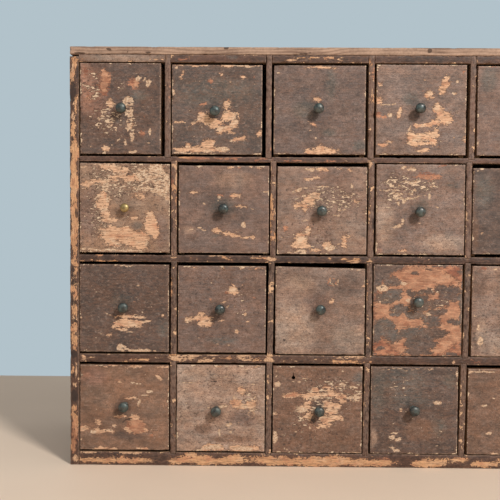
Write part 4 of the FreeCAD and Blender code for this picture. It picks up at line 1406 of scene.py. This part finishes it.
def makeMetal(name, fresh, worn, rust, metallic, roughness):
    made, tree, shader = newMaterial(name, roughness, metallic)
    spot = placeInMm(tree)
    broad = fleck(tree, spot, (0.16, 0.16, 0.16), 4, 0.65)
    fine = fleck(tree, spot, (0.7, 0.7, 0.7), 3, 0.6)
    color = mix(tree, ease(tree, broad, 0.38, 0.62), fresh, worn)
    color = mix(tree, ease(tree, fine, 0.52, 0.72, 0.0, 0.7), color, rust)
    dusty = useGroup(tree, grime, {"Place": spot, "Amount": 0.24})["Mask"]
    color = mix(tree, dusty, color, shade(150, 138, 122))
    tree.links.new(color, shader.inputs["Base Color"])
    rough = calc(tree, "MULTIPLY_ADD", ease(tree, broad, 0.35, 0.65), 0.22, roughness)
    rough = calc(tree, "MULTIPLY_ADD", dusty, 0.4, rough)
    tree.links.new(rough, shader.inputs["Roughness"])
    tree.links.new(ease(tree, dusty, 0.0, 0.5, metallic, metallic * 0.4), shader.inputs["Metallic"])
    addBump(tree, shader, calc(tree, "MULTIPLY_ADD", fine, 0.5, broad), 0.00025, 0.6)
    return made


knobBronze = makeMetal("knobBronze", shade(48, 50, 51), shade(74, 88, 86), shade(60, 44, 36), 0.5, 0.26)
knobBrass = makeMetal("knobBrass", shade(182, 156, 102), shade(140, 116, 70), shade(84, 68, 46), 0.7, 0.36)
nailIron = makeMetal("nailIron", shade(74, 66, 60), shade(98, 78, 64), shade(52, 42, 36), 0.6, 0.5)


def makeKnob(name, seed):
    brass = name == knob["brassOn"]
    share = knob["small"] if brass else 1.0
    x, y, z = knobPlace(name)
    bm = bmesh.new()
    line = [bm.verts.new((radius * share * mm, -(out if out < 0 else out * share) * mm, 0))
            for radius, out in knob["profile"]]
    edges = [bm.edges.new(pair) for pair in zip(line, line[1:])]
    bmesh.ops.spin(bm, geom=line + edges, cent=(0, 0, 0), axis=(0, 1, 0), angle=2 * math.pi,
                   steps=knob["steps"], use_merge=True)
    bmesh.ops.remove_doubles(bm, verts=bm.verts, dist=1e-6)
    bmesh.ops.recalc_face_normals(bm, faces=bm.faces)
    bm.normal_update()
    draw = random.Random(seed)
    offset = Vector((draw.uniform(-50, 50), draw.uniform(-50, 50), draw.uniform(-50, 50)))
    for vert in bm.verts:
        if vert.co.y < -0.002:
            dent = 0.5 + 0.5 * noise.noise(vert.co / mm * 0.25 + offset)
            vert.co -= vert.normal * dent * knob["dent"] * mm
    bmesh.ops.rotate(bm, verts=bm.verts, matrix=Matrix.Rotation(draw.uniform(0, 6.28), 3, "Y"))
    bmesh.ops.translate(bm, verts=bm.verts, vec=(x, y, z))
    finishPiece("knob_%s_turned" % name, bm, [knobBrass if brass else knobBronze], "drawer_" + name,
                ["knob_" + name], 50)


for row in range(1, drawer["rows"] + 1):
    for column in range(1, drawer["columns"] + 1):
        name = "r%dc%d" % (row, column)
        seed = row * 10 + column
        plan = drawerPlan(name)
        makeFront(name, plan, seeds["fronts"] + seed)
        makeBox(name, plan, seeds["boxes"] + 4 * seed)
        makeKnob(name, seeds["knobs"] + seed)
print("drawers and knobs made")

# nails through the top, the ends and the back, set flush
nails = {"head": 2.3, "shank": 3.0, "segments": 10, "inset": 6.3,
         "top": 584.95, "side": 350.9, "back": 126.85, "backInset": 18,
         "endPlaces": (-98, -30, 42, 108), "shelfPlaces": (-95, 5, 100),
         "topPlaces": [(x, y) for x in (-209, -70, 70, 209) for y in (-60, 40)],
         "backHeights": (11, 152, 292, 430, 566)}
bm = bmesh.new()


def addNail(place, axis, sign):
    radius = nails["head"] * mm
    verts = bmesh.ops.create_cone(bm, cap_ends=True, segments=nails["segments"], radius1=radius * 0.45,
                                  radius2=radius, depth=nails["shank"] * mm)["verts"]
    bmesh.ops.translate(bm, verts=verts, vec=(0, 0, -nails["shank"] * mm / 2))
    if axis == 0:
        bmesh.ops.rotate(bm, verts=verts, matrix=Matrix.Rotation(math.radians(90 * sign), 3, "Y"))
    if axis == 1:
        bmesh.ops.rotate(bm, verts=verts, matrix=Matrix.Rotation(math.radians(-90 * sign), 3, "X"))
    bmesh.ops.translate(bm, verts=verts, vec=Vector(place) * mm)


draw = random.Random(seeds["nails"])
for end in (-1, 1):
    for y in nails["endPlaces"]:
        addNail((end * (case["half"] - nails["inset"]), y + draw.uniform(-5, 5), nails["top"]), 2, 1)
    for node in ("bottom_board", "shelf_lower", "shelf_middle", "shelf_upper"):
        low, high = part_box(node)
        for y in nails["shelfPlaces"]:
            height = (low.z + high.z) / 2 / mm + draw.uniform(-1.5, 1.5)
            addNail((end * nails["side"], y + draw.uniform(-6, 6), height), 0, end)
for x, y in nails["topPlaces"]:
    addNail((x + draw.uniform(-4, 4), y + draw.uniform(-8, 8), nails["top"]), 2, 1)
for number in range(1, case["backBoards"] + 1):
    low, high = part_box("back_board_%d" % number)
    for height in nails["backHeights"]:
        for x in (low.x / mm + nails["backInset"], high.x / mm - nails["backInset"]):
            addNail((x + draw.uniform(-3, 3), nails["back"], height + draw.uniform(-1.5, 1.5)), 1, 1)
finishPiece("nails", bm, [nailIron], "carcass", smoothAngle=30)
print("nails set")

# a plain floor that ends behind the case, soft light, and the camera
studio = {"floorBack": 0.52, "floorReach": 4.0, "ambient": 0.42, "keyPower": 98.0, "keySize": 0.6,
          "keyPlace": (1.5, -2.6, 2.3), "keyAim": (0, -0.1, 0.29)}


def makeStage():
    bm = bmesh.new()
    reach, back = studio["floorReach"], studio["floorBack"]
    corners = [(-reach, -reach, 0), (reach, -reach, 0), (reach, back, 0), (-reach, back, 0)]
    bm.faces.new([bm.verts.new(corner) for corner in corners])
    bmesh.ops.subdivide_edges(bm, edges=bm.edges, cuts=3, use_grid_fill=True)
    mesh = takeMesh("floor", bm)
    made, tree, shader = newMaterial("floorFinish", 0.7)
    spot = put(tree, "TexCoord").outputs["Object"]
    cloud = fleck(tree, spot, (1.3, 1.3, 1.3), 4, 0.6)
    tree.links.new(mix(tree, ease(tree, cloud, 0.3, 0.7), shade(244, 222, 200), shade(234, 212, 190)),
                   shader.inputs["Base Color"])
    mesh.materials.append(made)
    addObject("floor", mesh)


def makeWorld():
    world = bpy.data.worlds.new("studio")
    world.use_nodes = True
    bpy.context.scene.world = world
    tree = world.node_tree
    tree.nodes.clear()
    paths = put(tree, "LightPath").outputs
    seen = calc(tree, "MAXIMUM", paths["Is Camera Ray"], paths["Is Glossy Ray"])
    seen = calc(tree, "MAXIMUM", seen, paths["Is Transmission Ray"])
    dim = put(tree, "Background", {"Color": (1.0, 0.985, 0.96, 1), "Strength": studio["ambient"]})
    wall = put(tree, "Background", {"Color": shade(178, 194, 202), "Strength": 1.0})
    both = put(tree, "MixShader", {0: seen, 1: dim.outputs[0], 2: wall.outputs[0]})
    out = tree.nodes.new("ShaderNodeOutputWorld")
    tree.links.new(both.outputs[0], out.inputs["Surface"])


def makeKey():
    lamp = bpy.data.lights.new("key", "AREA")
    lamp.shape = "DISK"
    lamp.size = studio["keySize"]
    lamp.energy = studio["keyPower"]
    lamp.color = (1.0, 0.97, 0.93)
    key = addObject("key", lamp)
    place = Vector(studio["keyPlace"])
    aim = Vector(studio["keyAim"]) - place
    key.matrix_world = Matrix.Translation(place) @ aim.to_track_quat("-Z", "Y").to_matrix().to_4x4()


def makeCamera():
    data = bpy.data.cameras.new("camera")
    data.sensor_width = view["sensor"]
    data.sensor_fit = "AUTO"
    data.lens = view["lens"]
    data.clip_start = 0.01
    camera = addObject("camera", data)
    camera.matrix_world = Matrix.Translation(view["place"]) @ cameraTurn
    bpy.context.scene.camera = camera


makeStage()
makeWorld()
makeKey()
makeCamera()
bpy.context.scene.view_settings.view_transform = "Standard"
print("stage, light and camera set")
